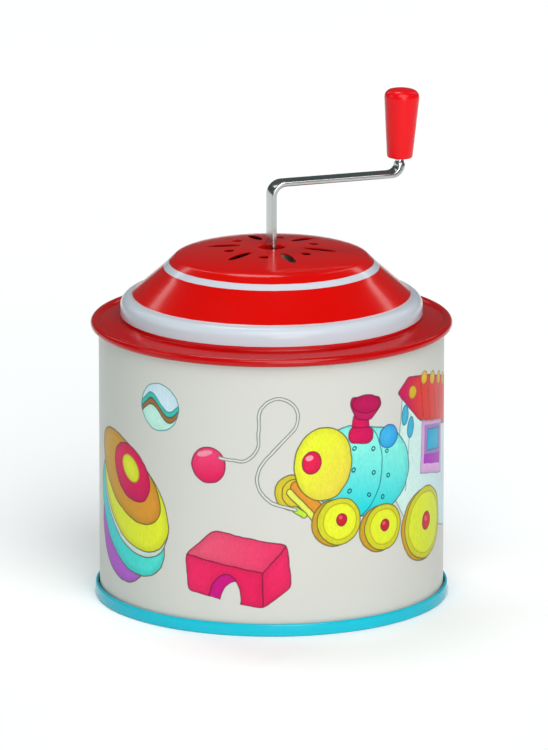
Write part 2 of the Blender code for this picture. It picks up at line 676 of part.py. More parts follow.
def bedplate(made):
    """The cast bedplate: floor plate, comb rail, two arbor posts and the footstep's boss."""
    plate = plate_outline(BED_X, BED_Y, BED_CORNER)
    piece = add_object("bedplate", prism_mesh(plate, *BED_Z), made)
    rail_x = (note_position(0) - 2.0, note_position(NOTES - 1) + 2.0)
    rail_top = AXIS_HEIGHT - COMB_THICKNESS / 2 - GAP
    post_y = (AXIS_Y - POST_HALF_WIDTH, AXIS_Y + POST_HALF_WIDTH)
    inside = BED_Z[0] + 1
    forms = [add_object("rail_form", box_mesh(rail_x, RAIL_Y, (inside, rail_top))),
             add_object("left_post_form", box_mesh(POST_LEFT, post_y, (inside, POST_TOP))),
             add_object("right_post_form", box_mesh(POST_RIGHT, post_y, (inside, POST_TOP))),
             add_object("boss_form", rod_mesh(BOSS_RADIUS, inside, 7.6, 20))]
    combine(piece, "UNION", *forms)
    cutters = [add_object("footstep_hole", rod_mesh(FOOTSTEP_RADIUS + GAP, BED_Z[0] + 0.8, 12, 20)),
               add_object("arbor_hole", rod_mesh(ARBOR_BUSH_RADIUS + GAP, -12, 34, 16),
                          location=(0, AXIS_Y, AXIS_HEIGHT), rotation=(0, 90, 0))]
    for i, place in enumerate(BED_SCREWS, 1):
        hole = rod_mesh(BED_SCREW[0] + GAP, 0, 12, 12, place)
        cutters.append(add_object(f"bed_hole_{i}", hole))
    for i, place in enumerate(BRIDGE_SCREWS, 1):
        hole = rod_mesh(THREAD_HOLE_RADIUS, 0, 12, 12, place)
        cutters.append(add_object(f"bridge_thread_{i}", hole))
    for i, x in enumerate(comb_screw_places(), 1):
        hole = rod_mesh(THREAD_HOLE_RADIUS, 10, 20, 12, (x, COMB_SCREW_ROW))
        cutters.append(add_object(f"rail_hole_{i}", hole))
    combine(piece, "DIFFERENCE", *cutters)
    return piece


def worm_bridge(made):
    """The bracket that steadies the worm shaft above the worm."""
    foot = BED_Z[1] + GAP
    side = [(15, foot), (15, foot + 2), (9.5, foot + 2), (9.5, 28), (-4, 28), (-4, 25),
            (7, 25), (7, foot)]
    bm = prism_mesh(side, -5, 5)
    bmesh.ops.transform(bm, verts=bm.verts, matrix=Matrix(((0, 0, 1, 0), (1, 0, 0, 0),
                                                           (0, 1, 0, 0), (0, 0, 0, 1))))
    piece = add_object("worm_bridge", bm, made)
    cutters = [add_object("bridge_bore", rod_mesh(BRIDGE_BUSH_RADIUS + GAP, 20, 32, 20))]
    for i, place in enumerate(BRIDGE_SCREWS, 1):
        hole = rod_mesh(BRIDGE_SCREW[0] + GAP, 0, 12, 12, place)
        cutters.append(add_object(f"bridge_hole_{i}", hole))
    combine(piece, "DIFFERENCE", *cutters)
    return piece


def bushes(made):
    """The four plain bearings: two for the worm shaft and two for the arbor."""
    shaft_bore = SHAFT_RADIUS + GAP
    turned("bridge_bush", tube_outline(shaft_bore, BRIDGE_BUSH_RADIUS, *BRIDGE_BUSH_Z), made, 20)
    floor = BED_Z[0] + 0.8 + GAP
    outer = FOOTSTEP_RADIUS
    turned("footstep_bush", [(0, floor), (outer, floor), (outer, 8.2), (shaft_bore, 8.2),
                             (shaft_bore, SHAFT_FOOT - GAP), (0, SHAFT_FOOT - GAP)], made, 20)
    for name, span in (("left", POST_LEFT), ("right", POST_RIGHT)):
        outline = tube_outline(ARBOR_RADIUS + GAP, ARBOR_BUSH_RADIUS, *span)
        turned(f"arbor_bush_{name}", outline, made, 16,
               location=(0, AXIS_Y, AXIS_HEIGHT), rotation=(0, 90, 0))


def screws(made):
    """The screws of the comb, the bridge and the bedplate."""
    comb_seat = AXIS_HEIGHT + COMB_THICKNESS / 2 + GAP
    for i, x in enumerate(comb_screw_places(), 1):
        screw(f"comb_screw_{i}", made, x, COMB_SCREW_ROW, comb_seat, 11.0, COMB_SCREW)
    bridge_seat = BED_Z[1] + 2 + 2 * GAP
    for i, (x, y) in enumerate(BRIDGE_SCREWS, 1):
        screw(f"bridge_screw_{i}", made, x, y, bridge_seat, BED_Z[0] + 0.4, BRIDGE_SCREW)
    floor_seat = FLOOR_TOP - SHEET - GAP
    for i, (x, y) in enumerate(BED_SCREWS, 1):
        screw(f"bedplate_screw_{i}", made, x, y, floor_seat, BED_Z[1] - 0.2, BED_SCREW,
              from_below=True)


def build():
    """Clear the file and make every piece."""
    for old in list(bpy.data.objects):
        bpy.data.objects.remove(old, do_unlink=True)

    litho = material("cream litho tin", (0.71, 0.74, 0.69), 0.25)
    red_tin = material("red lacquered tin", (0.74, 0.02, 0.015), 0.15)
    blue_tin = material("blue lacquered tin", (0.03, 0.55, 0.72), 0.2)
    plated = material("plated steel", (0.55, 0.57, 0.56), 0.25, 1.0)
    steel = material("blued spring steel", (0.28, 0.30, 0.33), 0.3, 1.0)
    brass = material("brass", (0.70, 0.50, 0.20), 0.3, 1.0)
    zinc = material("cast zinc", (0.45, 0.46, 0.47), 0.5, 1.0)
    nylon = material("natural nylon", (0.75, 0.73, 0.66), 0.5)
    red_plastic = material("red plastic", (0.80, 0.02, 0.03), 0.3)

    crank_axis = add_empty("crank_axis")
    grip_x, grip_z = grip_place()
    grip_axis = add_empty("grip_axis", crank_axis, (grip_x, 0, grip_z), (0, GRIP_LEAN, 0))
    cylinder_axis = add_empty("cylinder_axis", None, (0, AXIS_Y, AXIS_HEIGHT), (0, 90, 0))

    can_wall(litho)
    base_pan(blue_tin)
    dome_lid(red_tin)
    lid_bush(nylon)
    crank_strip(plated, crank_axis)
    crank_grip(red_plastic, grip_axis)
    grip_clip(steel, grip_axis)
    spindle(plated, crank_axis)
    cross_pin(steel, crank_axis)
    spindle_clip(steel, crank_axis)
    coupling(steel, brass, crank_axis)
    worm_shaft(plated, crank_axis)
    worm_wheel(nylon, cylinder_axis)
    melody_cylinder(brass, cylinder_axis)
    cylinder_cap(nylon, cylinder_axis)
    cylinder_arbor(plated, cylinder_axis)
    comb(steel)
    bedplate(zinc)
    worm_bridge(zinc)
    bushes(brass)
    screws(plated)


build()
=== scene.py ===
"""The looks of a hand-cranked tin music box: lacquered lid, printed drum, plated crank and grip.

The frame gives every piece its place. Lengths are metres, and the drum's print is laid out in
millimetres along its wall, measured from the front.
"""
import json
from math import atan2, cos, degrees, hypot, pi, radians, sin

import bmesh
import bpy
from bmesh.types import BMFace, BMVert
from bpy.props import FloatProperty, FloatVectorProperty, IntProperty, PointerProperty
from mathutils import Matrix, Vector


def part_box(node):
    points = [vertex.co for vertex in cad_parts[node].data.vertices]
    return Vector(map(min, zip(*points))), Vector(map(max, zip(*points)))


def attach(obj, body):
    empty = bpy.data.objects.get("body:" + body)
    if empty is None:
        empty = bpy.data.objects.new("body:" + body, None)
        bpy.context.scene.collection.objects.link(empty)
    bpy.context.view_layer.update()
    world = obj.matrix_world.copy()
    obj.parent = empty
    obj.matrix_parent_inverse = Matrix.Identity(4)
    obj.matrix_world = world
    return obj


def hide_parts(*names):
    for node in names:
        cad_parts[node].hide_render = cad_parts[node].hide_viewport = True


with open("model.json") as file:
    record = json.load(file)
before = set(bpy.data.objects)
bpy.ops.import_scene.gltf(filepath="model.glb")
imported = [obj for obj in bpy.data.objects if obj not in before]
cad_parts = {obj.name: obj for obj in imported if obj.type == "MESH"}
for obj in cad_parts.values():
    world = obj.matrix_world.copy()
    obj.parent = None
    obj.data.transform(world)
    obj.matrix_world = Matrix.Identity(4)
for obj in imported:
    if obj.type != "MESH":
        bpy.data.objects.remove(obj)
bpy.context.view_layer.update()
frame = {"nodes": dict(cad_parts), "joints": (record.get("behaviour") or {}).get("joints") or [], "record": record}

bl_info = {
    "name": "Tin Music Box",
    "version": (1, 0, 0),
    "blender": (4, 5, 0),
    "location": "3D View > Sidebar > Music Box",
    "description": "Builds the finished surfaces of a hand-cranked tin music box",
    "category": "Add Mesh",
}

MM = 0.001
LID_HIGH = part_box("dome_lid")[1]
BASE_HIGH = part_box("base_pan")[1]
DRUM_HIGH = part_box("can_wall")[1]
STRIP_LOW, STRIP_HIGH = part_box("crank_strip")

FRONT = radians(250)          # direction of the print's middle, from +X towards +Y
DRUM_STEPS = 192              # faces round the drum
LID_STEPS = 180               # faces round the lid and the base pan
LID_LINE = 100.75 * MM, 102.3 * MM    # bottom and top of the white line below the crown
LID_BAND = 86.75 * MM, 92.45 * MM     # bottom and top of the white rounded band
BAND_RADIUS = 46.0 * MM               # the band ends here, where the tray begins
PRINT_ROUGHNESS = 0.32
INK_DEPTH = 0.86              # share of a display colour's light that an ink sends back
PRINT_EDGE = 0.14             # softness of a printed edge, in print millimetres
WAVER = 0.9                   # how far the hand-drawn lines stray, in print millimetres


def shade(red, green, blue):
    """A colour given as display values from 0 to 255, made linear."""
    return tuple(c / 12.92 if c < 0.04045 else ((c + 0.055) / 1.055) ** 2.4
                 for c in (red / 255, green / 255, blue / 255))


def ink(red, green, blue):
    """A printing ink: deeper than the same display colour, as ink lies thinly over the ground."""
    return tuple(INK_DEPTH * c for c in shade(red, green, blue))


# Inks of the print

CREAM = ink(207, 207, 200)
LINE = ink(92, 84, 40)
GREY = ink(128, 140, 146)
WHITE = ink(236, 242, 240)
LEMON = ink(228, 236, 48)
PALE_LEMON = ink(232, 238, 96)
OCHRE = ink(206, 160, 40)
ORANGE = ink(226, 150, 48)
MUSTARD = ink(176, 150, 24)
CRIMSON = ink(222, 22, 84)
ROSE = ink(240, 84, 122)
DEEP_ROSE = ink(200, 8, 92)
PLUM = ink(120, 14, 60)
SCARLET = ink(222, 48, 36)
TURQUOISE = ink(18, 208, 214)
AQUA = ink(138, 238, 222)
TEAL = ink(56, 200, 184)
DEEP_TEAL = ink(24, 104, 120)
SKY = ink(76, 196, 236)
BLUE = ink(20, 132, 222)
DEEP_BLUE = ink(20, 78, 160)
PALE_MINT = ink(206, 236, 228)
PALE_BLUE = ink(204, 228, 238)
LILAC = ink(178, 120, 214)
MAUVE = ink(176, 50, 196)
PINK = ink(222, 170, 226)
BROWN = ink(160, 112, 66)
GREEN = ink(96, 186, 84)


def measure(name, description, default, **limits):
    """A length that a user can set."""
    return FloatProperty(name=name, description=description, default=default,
                         subtype="DISTANCE", unit="LENGTH", **limits)


def bearing(name, description, default):
    """An angle that a user can set."""
    return FloatProperty(name=name, description=description, default=default,
                         subtype="ANGLE", unit="ROTATION")


def hue(name, description, default):
    """A colour that a user can set."""
    return FloatVectorProperty(name=name, description=description, default=default, size=3,
                               min=0, max=1, subtype="COLOR")


class TinSizes(bpy.types.PropertyGroup):
    """Sizes of the tin's visible pieces."""

    sheet: measure("Sheet", "Thickness of the tinplate", 0.35 * MM, min=0.1 * MM)
    drum_radius: measure("Drum radius", "Outside of the printed drum", 52.0 * MM)
    base_radius: measure("Base radius", "Outside of the base's rolled rim", BASE_HIGH[0])
    base_height: measure("Base height", "Top of the base's rolled rim", BASE_HIGH[2])
    lid_radius: measure("Lid radius", "Outside of the lid's curled edge", LID_HIGH[0])
    crown: measure("Crown", "Height of the middle of the lid's crown", 107.0 * MM)
    petal_length: measure("Petal length", "Length of a long sound hole", 10.4 * MM)
    petal_width: measure("Petal width", "Width of a long sound hole", 3.0 * MM)
    round_hole: measure("Round hole", "Radius of a round sound hole", 1.5 * MM)
    holes: IntProperty(name="Holes", description="Sound holes of each kind", default=6, min=1)
    strip_width: measure("Strip width", "Width of the crank's flat strip",
                         STRIP_HIGH[1] - STRIP_LOW[1])
    strip_thickness: measure("Strip thickness", "Thickness of the strip", 1.5 * MM)
    grip_height: measure("Grip height", "Length of the plastic grip", 21.6 * MM)


class TinColours(bpy.types.PropertyGroup):
    """Colours of the tin's lacquers, print ground and plastic."""

    lid: hue("Lid", "Red lacquer of the lid", shade(200, 6, 2))
    lines: hue("Lines", "White line and band on the lid", shade(186, 192, 200))
    base: hue("Base", "Blue lacquer of the base", shade(14, 178, 198))
    ground: hue("Ground", "Cream ground of the print", CREAM)
    grip: hue("Grip", "Red plastic of the grip", shade(220, 6, 18))


class TinStage(bpy.types.PropertyGroup):
    """Camera, lights and floor."""

    azimuth: bearing("Azimuth", "Camera's direction round the tin", radians(-20))
    elevation: bearing("Elevation", "Camera's angle above level", radians(13.9))
    distance: measure("Distance", "From the camera to the tin's axis", 2.55)
    lens: FloatProperty(name="Lens", description="Focal length in millimetres", default=406.0)
    aim: measure("Aim", "Height the camera points at", 67.1 * MM)
    aside: measure("Aside", "How far right of the axis the camera points", 0.75 * MM)
    light: FloatProperty(name="Light", description="Strength of the lights", default=1.0, min=0)


def sizes():
    """The sizes set for the scene."""
    return bpy.context.scene.tin_sizes


def colours():
    """The colours set for the scene."""
    return bpy.context.scene.tin_colours


# Shaders

class Value:
    """An output in a shader. Python's arithmetic on it adds Math nodes."""

    def __init__(self, finish, socket):
        self.finish = finish
        self.socket = socket

    def __add__(self, other):
        return self.finish.math("ADD", self, other)

    def __sub__(self, other):
        return self.finish.math("SUBTRACT", self, other)

    def __rsub__(self, other):
        return self.finish.math("SUBTRACT", other, self)

    def __mul__(self, other):
        return self.finish.math("MULTIPLY", self, other)

    def __truediv__(self, other):
        return self.finish.math("DIVIDE", self, other)

    def __neg__(self):
        return self.finish.math("MULTIPLY", self, -1.0)

    def __abs__(self):
        return self.finish.math("ABSOLUTE", self)

    __radd__ = __add__
    __rmul__ = __mul__


class Finish:
    """A material, with short ways to add nodes to it."""

    def __init__(self, name, colour, roughness, metallic=0.0, coat=0.0, coat_roughness=0.05,
                 shine=0.5):
        self.material = bpy.data.materials.new(name)
        self.material.use_nodes = True
        self.tree = self.material.node_tree
        self.surface = self.tree.nodes["Principled BSDF"]
        self.set("Base Color", (*colour, 1.0))
        self.set("Roughness", roughness)
        self.set("Metallic", metallic)
        self.set("Coat Weight", coat)
        self.set("Coat Roughness", coat_roughness)
        self.set("Specular IOR Level", shine)
        self.place = self.out(self.node("ShaderNodeTexCoord"), "Object")

    def node(self, kind, settings=None, inputs=None):
        """Add a node: its settings first, then the values or links of its sockets."""
        made = self.tree.nodes.new(kind)
        for name, value in (settings or {}).items():
            setattr(made, name, value)
        for name, value in (inputs or {}).items():
            self.feed(made.inputs[name], value)
        return made

    def feed(self, socket, value):
        """Link a value to a socket, or set the socket to a number or colour."""
        if isinstance(value, Value):
            self.tree.links.new(value.socket, socket)
        elif isinstance(value, tuple) and len(value) == 3 and socket.type == "RGBA":
            socket.default_value = (*value, 1.0)
        else:
            socket.default_value = value

    def out(self, made, name=0):
        """One of a node's outputs, as a value."""
        return Value(self, made.outputs[name])

    def set(self, name, value):
        """Set or link one of the surface's own sockets."""
        self.feed(self.surface.inputs[name], value)

    def math(self, operation, *values, clamp=False):
        """A Math node."""
        made = self.node("ShaderNodeMath", {"operation": operation, "use_clamp": clamp},
                         dict(enumerate(values)))
        return self.out(made)

    def vector(self, operation, *values, out="Vector"):
        """A Vector Math node."""
        made = self.node("ShaderNodeVectorMath", {"operation": operation}, dict(enumerate(values)))
        return self.out(made, out)

    def mix(self, factor, under, over):
        """A colour between two."""
        made = self.node("ShaderNodeMix", {"data_type": "RGBA"}, {0: factor, 6: under, 7: over})
        return self.out(made, 2)

    def apart(self, vector):
        """A vector's X, Y and Z."""
        made = self.node("ShaderNodeSeparateXYZ", None, {0: vector})
        return [self.out(made, i) for i in range(3)]

    def together(self, x, y, z=0.0):
        """A vector from three numbers."""
        return self.out(self.node("ShaderNodeCombineXYZ", None, {0: x, 1: y, 2: z}))

    def below(self, value, limit, softness):
        """1 where a value is below a limit, and 0 where it is above."""
        return self.math("MULTIPLY_ADD", value, -1 / softness, limit / softness + 0.5, clamp=True)

    def between(self, value, low, high, softness):
        """1 where a value is between two limits."""
        middle = (low + high) / 2
        return self.below(abs(value - middle), (high - low) / 2, softness)

    def noise(self, scale, detail=3.0, stretch=(1, 1, 1), place=None, roughness=0.5, out=0):
        """Noise from 0 to 1, at so many lumps a metre, longer where stretch is larger."""
        where = self.out(self.node("ShaderNodeMapping", {"vector_type": "TEXTURE"},
                                   {"Vector": place or self.place, "Scale": stretch}))
        made = self.node("ShaderNodeTexNoise", None,
                         {"Vector": where, "Scale": scale, "Detail": detail,
                          "Roughness": roughness})
        return self.out(made, out)

    def bump(self, height, distance, strength=1.0):
        """Feed a height to the surface's normal."""
        made = self.node("ShaderNodeBump", None,
                         {"Height": height, "Distance": distance, "Strength": strength})
        self.set("Normal", self.out(made))

    def vary_roughness(self, amount, base, low, high):
        """Roughness from base + low to base + high, as an amount goes from 0.3 to 0.7."""
        made = self.node("ShaderNodeMapRange", None,
                         {0: amount, 1: 0.3, 2: 0.7, 3: base + low, 4: base + high})
        self.set("Roughness", self.out(made))


def lacquer(name, colour, marks=None):
    """Stoved lacquer on tinplate: glossy, faintly rippled, with dust and fine rub marks."""
    finish = Finish(name, colour, 0.26, coat=0.36, coat_roughness=0.12, shine=0.06)
    cloud = finish.noise(60, 3)
    specks = finish.noise(2600, 2)
    ripple = finish.noise(420, 2)
    deep = tuple(c * 0.86 for c in colour)
    paint = finish.mix(cloud * 0.7, colour, deep)
    if marks:
        paint = marks(finish, paint)
    dust = finish.below(1.0 - specks, 0.24, 0.04)
    paint = finish.mix(dust * 0.12, paint, shade(220, 205, 200))
    finish.set("Base Color", paint)
    finish.vary_roughness(cloud, 0.2, -0.05, 0.06)
    finish.bump(ripple + specks * 0.15, 0.00003, 0.35)
    return finish.material


def lid_lines(finish, paint):
    """The white line below the crown and the white rounded band, over the red, with painted shade darkening the
    red below the band.
    """
    x, y, z = finish.apart(finish.place)
    waver = (finish.noise(300, 1) - 0.5) * (0.12 * MM)
    height = z + waver
    soft = 0.09 * MM
    line = finish.between(height, *LID_LINE, soft)
    band = finish.between(height, *LID_BAND, soft)
    inside = finish.below(finish.vector("LENGTH", finish.together(x, y), out="Value"),
                          BAND_RADIUS, 0.1 * MM)
    # Painted shade: below the band the red is mixed towards a darker red, over the band's foot, the tray and the
    # curl, where shade falls.
    paint = finish.mix(finish.below(height, 86.4 * MM, 1.5 * MM) * 0.5, paint, shade(146, 2, 12))
    white = finish.mix(finish.noise(90, 2) * 0.5, tuple(colours().lines), shade(190, 196, 204))
    edge = finish.between(height, 92.2 * MM, 92.7 * MM, soft * 3)
    white = finish.mix(edge * 0.25, white, shade(210, 120, 120))
    return finish.mix(finish.math("MAXIMUM", line, band * inside), paint, white)


def red_lacquer():
    """The lid's lacquer with its lines."""
    return lacquer("red lacquer with white lines", tuple(colours().lid), lid_lines)


def blue_lacquer():
    """The base's lacquer, a little worn where the rim rests."""
    def rest(finish, paint):
        height = finish.apart(finish.place)[2]
        rub = finish.below(height + finish.noise(500, 3) * (0.5 * MM), 0.42 * MM, 0.2 * MM)
        return finish.mix(rub * 0.35, paint, shade(150, 170, 175))
    return lacquer("blue lacquer", tuple(colours().base), rest)


def plated_steel(name, along, bright=0.6, roughness=0.17):
    """Nickel-plated strip: fine lines along its length, tumbled dents and a soft cloud."""
    finish = Finish(name, (bright, bright * 1.01, bright * 0.99), roughness, 1.0)
    lines = finish.noise(5200, 3, along)
    cloud = finish.noise(160, 3)
    dents = finish.noise(900, 2)
    tint = finish.mix(cloud, (bright * 0.84, bright * 0.87, bright * 0.86),
                      (bright * 1.1, bright * 1.09, bright * 1.05))
    finish.set("Base Color", finish.mix(lines * 0.35, tint, (bright * 0.6,) * 3))
    finish.vary_roughness(lines * 0.6 + cloud * 0.4, roughness, -0.05, 0.1)
    finish.bump(lines * 0.5 + dents, 0.00003, 0.4)
    return finish.material


def turned_metal(name, colour, roughness, scale=1500):
    """Machined metal: close tool lines and a little tarnish."""
    finish = Finish(name, colour, roughness, 1.0)
    tarnish = finish.noise(220, 4)
    lines = finish.noise(scale, 2, (6, 6, 1))
    finish.set("Base Color", finish.mix(tarnish * 0.6, colour, tuple(c * 0.62 for c in colour)))
    finish.vary_roughness(lines, roughness, -0.06, 0.1)
    finish.bump(lines, 0.00002, 0.4)
    return finish.material


def moulded_plastic(name, colour, roughness, seam=None):
    """Moulded plastic: flow marks, a fine skin and, where asked, the mould's parting line."""
    finish = Finish(name, colour, roughness, coat=0.12, coat_roughness=0.1, shine=0.16)
    flow = finish.noise(90, 2, (1, 1, 3))
    skin = finish.noise(2200, 2)
    light = tuple(min(1.0, c * 1.12 + 0.004) for c in colour)
    finish.set("Base Color", finish.mix(flow * 0.6, tuple(c * 0.9 for c in colour), light))
    finish.vary_roughness(flow, roughness, -0.05, 0.06)
    height = skin * 0.25
    if seam is not None:
        y = finish.apart(finish.place)[1]
        height = height + finish.below(abs(y - seam), 0.12 * MM, 0.12 * MM) * 1.2
    finish.bump(height, 0.00004, 0.5)
    return finish.material


# The print

class Print(Finish):
    """The drum's print. Places and sizes are millimetres right of the front, and up."""

    def __init__(self, name):
        ground = tuple(colours().ground)
        super().__init__(name, ground, PRINT_ROUGHNESS, coat=0.08, coat_roughness=0.1, shine=0.1)
        across = (-sin(FRONT), cos(FRONT), 0)
        outward = (cos(FRONT), sin(FRONT), 0)
        sideways = self.vector("DOT_PRODUCT", self.place, across, out="Value")
        forward = self.vector("DOT_PRODUCT", self.place, outward, out="Value")
        angle = self.math("ARCTAN2", sideways, forward)
        up = self.apart(self.place)[2]
        self.point = self.together(angle * (sizes().drum_radius / MM), up * (1 / MM), 1.0)
        grain = self.noise(1.4, 3, (0.6, 1.8, 1), self.point, 0.65)
        self.strokes = self.math("MULTIPLY_ADD", grain, 1.0, -0.38)
        self.colour = self.ground_tone(ground)
        waver = self.noise(0.2, 2, (1, 1, 1), self.point, out="Color")
        waver = self.vector("SUBTRACT", waver, (0.5, 0.5, 0.5))
        self.point = self.vector("MULTIPLY_ADD", waver, (WAVER, WAVER, 0), self.point)

    def ground_tone(self, ground):
        """The cream ground: faint cloud, and the fine fleck of printed tin."""
        cloud = self.noise(0.03, 2, (1, 1, 1), self.point)
        tone = self.mix(cloud * 0.8, tuple(c * 0.965 for c in ground), ground)
        fleck = self.noise(5.0, 2, (1, 1, 1), self.point)
        return self.mix(fleck * 0.12, tone, ink(190, 196, 190))

    def finished(self):
        """Lay the finished colours on the surface."""
        self.set("Base Color", self.colour)
        smudge = self.noise(0.05, 3, (1, 1, 1), self.point)
        self.vary_roughness(smudge, PRINT_ROUGHNESS, -0.04, 0.07)
        self.bump(self.noise(0.5, 2, (1, 1, 1), self.point), 0.00003, 0.25)
        return self.material

    def along(self, right, up, offset=0.0):
        """A share of the place rightwards, a share of it upwards and an offset, added up."""
        return self.vector("DOT_PRODUCT", self.point, (right, up, offset), out="Value")

    def local(self, x, y, turn=0.0, size=(1.0, 1.0)):
        """The point seen from a place, turned by degrees and divided by a size."""
        wide, high = size
        if not turn:
            return self.vector("MULTIPLY_ADD", self.point, (1 / wide, 1 / high, 0),
                               (-x / wide, -y / high, 0))
        right, up = cos(radians(turn)), sin(radians(turn))
        across = self.along(right / wide, up / wide, -(x * right + y * up) / wide)
        rise = self.along(-up / high, right / high, (x * up - y * right) / high)
        return self.together(across, rise)

    def length(self, vector):
        """A vector's length."""
        return self.vector("LENGTH", vector, out="Value")

    def ellipse(self, x, y, across, up, turn=0.0):
        """Distance from an ellipse's edge, negative inside."""
        near = self.local(x, y, turn, (across, up))
        size = self.length(near)
        if across == up:
            return (size - 1.0) * across
        slope = self.length(self.vector("DIVIDE", near, (across, up, 1)))
        return size * (size - 1.0) / slope

    def box(self, x, y, wide, high, turn=0.0, corner=0.6):
        """Distance from a box with rounded corners."""
        near = self.vector("ABSOLUTE", self.local(x, y, turn))
        near = self.vector("SUBTRACT", near, (wide / 2 - corner, high / 2 - corner, 0))
        return self.length(self.vector("MAXIMUM", near, (0, 0, 0))) - corner

    def bar(self, start, end, half=0.0):
        """Distance from a straight bar with round ends."""
        reach = hypot(end[0] - start[0], end[1] - start[1])
        turn = degrees(atan2(end[1] - start[1], end[0] - start[0]))
        return self.box((start[0] + end[0]) / 2, (start[1] + end[1]) / 2, reach + 2 * half,
                        2 * half, turn, half)

    def bow(self, x, y, radius, start, end):
        """Distance from an arc, drawn anticlockwise between two angles in degrees."""
        near = self.local(x, y, (start + end) / 2)
        ring = abs(self.length(near) - radius)
        reach = radius * cos(radians((end - start) / 2))
        return self.math("MAXIMUM", ring, reach - self.apart(near)[0])

    def shape(self, *corners, soft=0.5):
        """Distance from a convex shape whose corners go anticlockwise."""
        distance = None
        for (x0, y0), (x1, y1) in zip(corners, corners[1:] + corners[:1]):
            size = hypot(x1 - x0, y1 - y0)
            right, up = (y1 - y0) / size, (x0 - x1) / size
            side = self.along(right, up, -(x0 * right + y0 * up))
            distance = self.math("SMOOTH_MAX", distance, side, soft) if distance else side
        return distance

    def nearest(self, *distances):
        """The smallest of several distances."""
        least = distances[0]
        for distance in distances[1:]:
            least = self.math("MINIMUM", least, distance)
        return least

    def within(self, distance, limit):
        """A shape cut back to where a second shape is."""
        return self.math("MAXIMUM", distance, limit)

    def without(self, distance, other):
        """A shape with a second shape cut out."""
        return self.math("MAXIMUM", distance, -other)

    def blend(self, ink, other, direction, start, end):
        """An ink that turns into another along a direction given in degrees."""
        scale = 1 / (end - start)
        along = self.along(cos(radians(direction)) * scale, sin(radians(direction)) * scale)
        amount = self.math("SUBTRACT", along, start * scale, clamp=True)
        made = self.mix(amount, ink, other)
        made.deep = tuple((a + b) * 0.3 for a, b in zip(ink, other))
        return made

    def paint(self, distance, ink, edge=LINE, width=0.4, press=0.34):
        """Fill a shape with crayon-like ink, pressed harder towards its edge, and draw its edge."""
        deep = tuple(c * 0.6 for c in ink) if isinstance(ink, tuple) else ink.deep
        inside = self.below(distance, 0.0, PRINT_EDGE)
        pressed = self.math("MULTIPLY_ADD", distance, 0.4, 1.0, clamp=True) * press
        tone = self.mix(pressed + self.strokes, ink, deep)
        self.colour = self.mix(inside, self.colour, tone)
        if edge:
            self.stroke(distance, edge, width)

    def stroke(self, distance, ink, width=0.4, strength=0.85):
        """Draw a line along a shape's edge."""
        line = self.below(abs(distance), width / 2, PRINT_EDGE)
        self.colour = self.mix(line * strength, self.colour, ink)


def draw_marble(art, x, y, radius):
    """A glass marble with a twisted ribbon."""
    glass = art.ellipse(x, y, radius, radius)
    art.paint(glass, PALE_BLUE, None, press=0.2)
    across, up, _ = art.apart(art.local(x, y))
    wave = up + across * 0.12 + art.math("SINE", across * 0.5 - 0.15) * 2.1
    art.paint(art.within(wave + 1.8, glass), ink(190, 238, 222), None, press=0.2)
    art.paint(art.within(abs(wave - 0.6) - 0.85, glass), TEAL, DEEP_TEAL, 0.35)
    art.paint(art.within(abs(wave + 1.1) - 0.85, glass), BROWN, ink(70, 60, 50), 0.35)
    art.stroke(glass, ink(70, 140, 138), 0.35)


def draw_ring_stack(art, x, y, turn=-40.0):
    """A stack of wooden rings seen from its top."""
    layers = ((-3.6, -19.6, 15.0, 11.5, turn, MAUVE, LILAC),
              (-0.2, -12.6, 20.6, 13.0, turn, TURQUOISE, ink(84, 226, 210)),
              (1.8, -7.3, 19.6, 12.6, turn, WHITE, PALE_MINT),
              (2.1, -5.6, 19.6, 12.6, turn, LEMON, LEMON),
              (0.0, 0.0, 18.2, 9.8, turn + 6, OCHRE, ORANGE))
    for right, up, long, wide, lean, near, far in layers:
        tone = art.blend(near, far, 0, x - 16, x + 16)
        art.paint(art.ellipse(x + right, y + up, long, wide, lean), tone, LINE, 0.42, 0.5)
    ring = art.ellipse(x + 2.9, y + 1.7, 10.0, 7.4, turn)
    art.paint(ring, art.blend(CRIMSON, DEEP_ROSE, -90, -y - 2, -y + 10), PLUM, 0.4)
    art.paint(art.ellipse(x + 2.9, y + 3.0, 4.7, 3.4, turn), LEMON, MUSTARD, 0.4)


def draw_string(art):
    """The looped string between the ball and the engine."""
    cord = art.nearest(art.bar((-15.6, 53.9), (-10.0, 53.2)), art.bow(-10.0, 59.3, 6.1, -90, 0),
                       art.bar((-3.9, 59.3), (-3.7, 66.6)), art.bow(2.1, 66.6, 5.8, -40, 180),
                       art.bar((6.5, 62.9), (-2.3, 53.3)), art.bow(4.1, 48.0, 8.3, 140, 245),
                       art.bar((0.6, 40.5), (7.0, 38.6)))
    art.paint(cord - 0.42, ink(212, 214, 206), ink(112, 120, 112), 0.34, 0.0)


def draw_ball(art, x, y, radius):
    """A glossy painted ball."""
    ball = art.ellipse(x, y, radius, radius)
    art.paint(ball, art.blend(CRIMSON, ink(236, 70, 120), 100, y - 2, y + 7), PLUM)
    art.paint(art.ellipse(x - 1.2, y + 3.4, 2.6, 0.9, 12), ink(244, 150, 168), None)


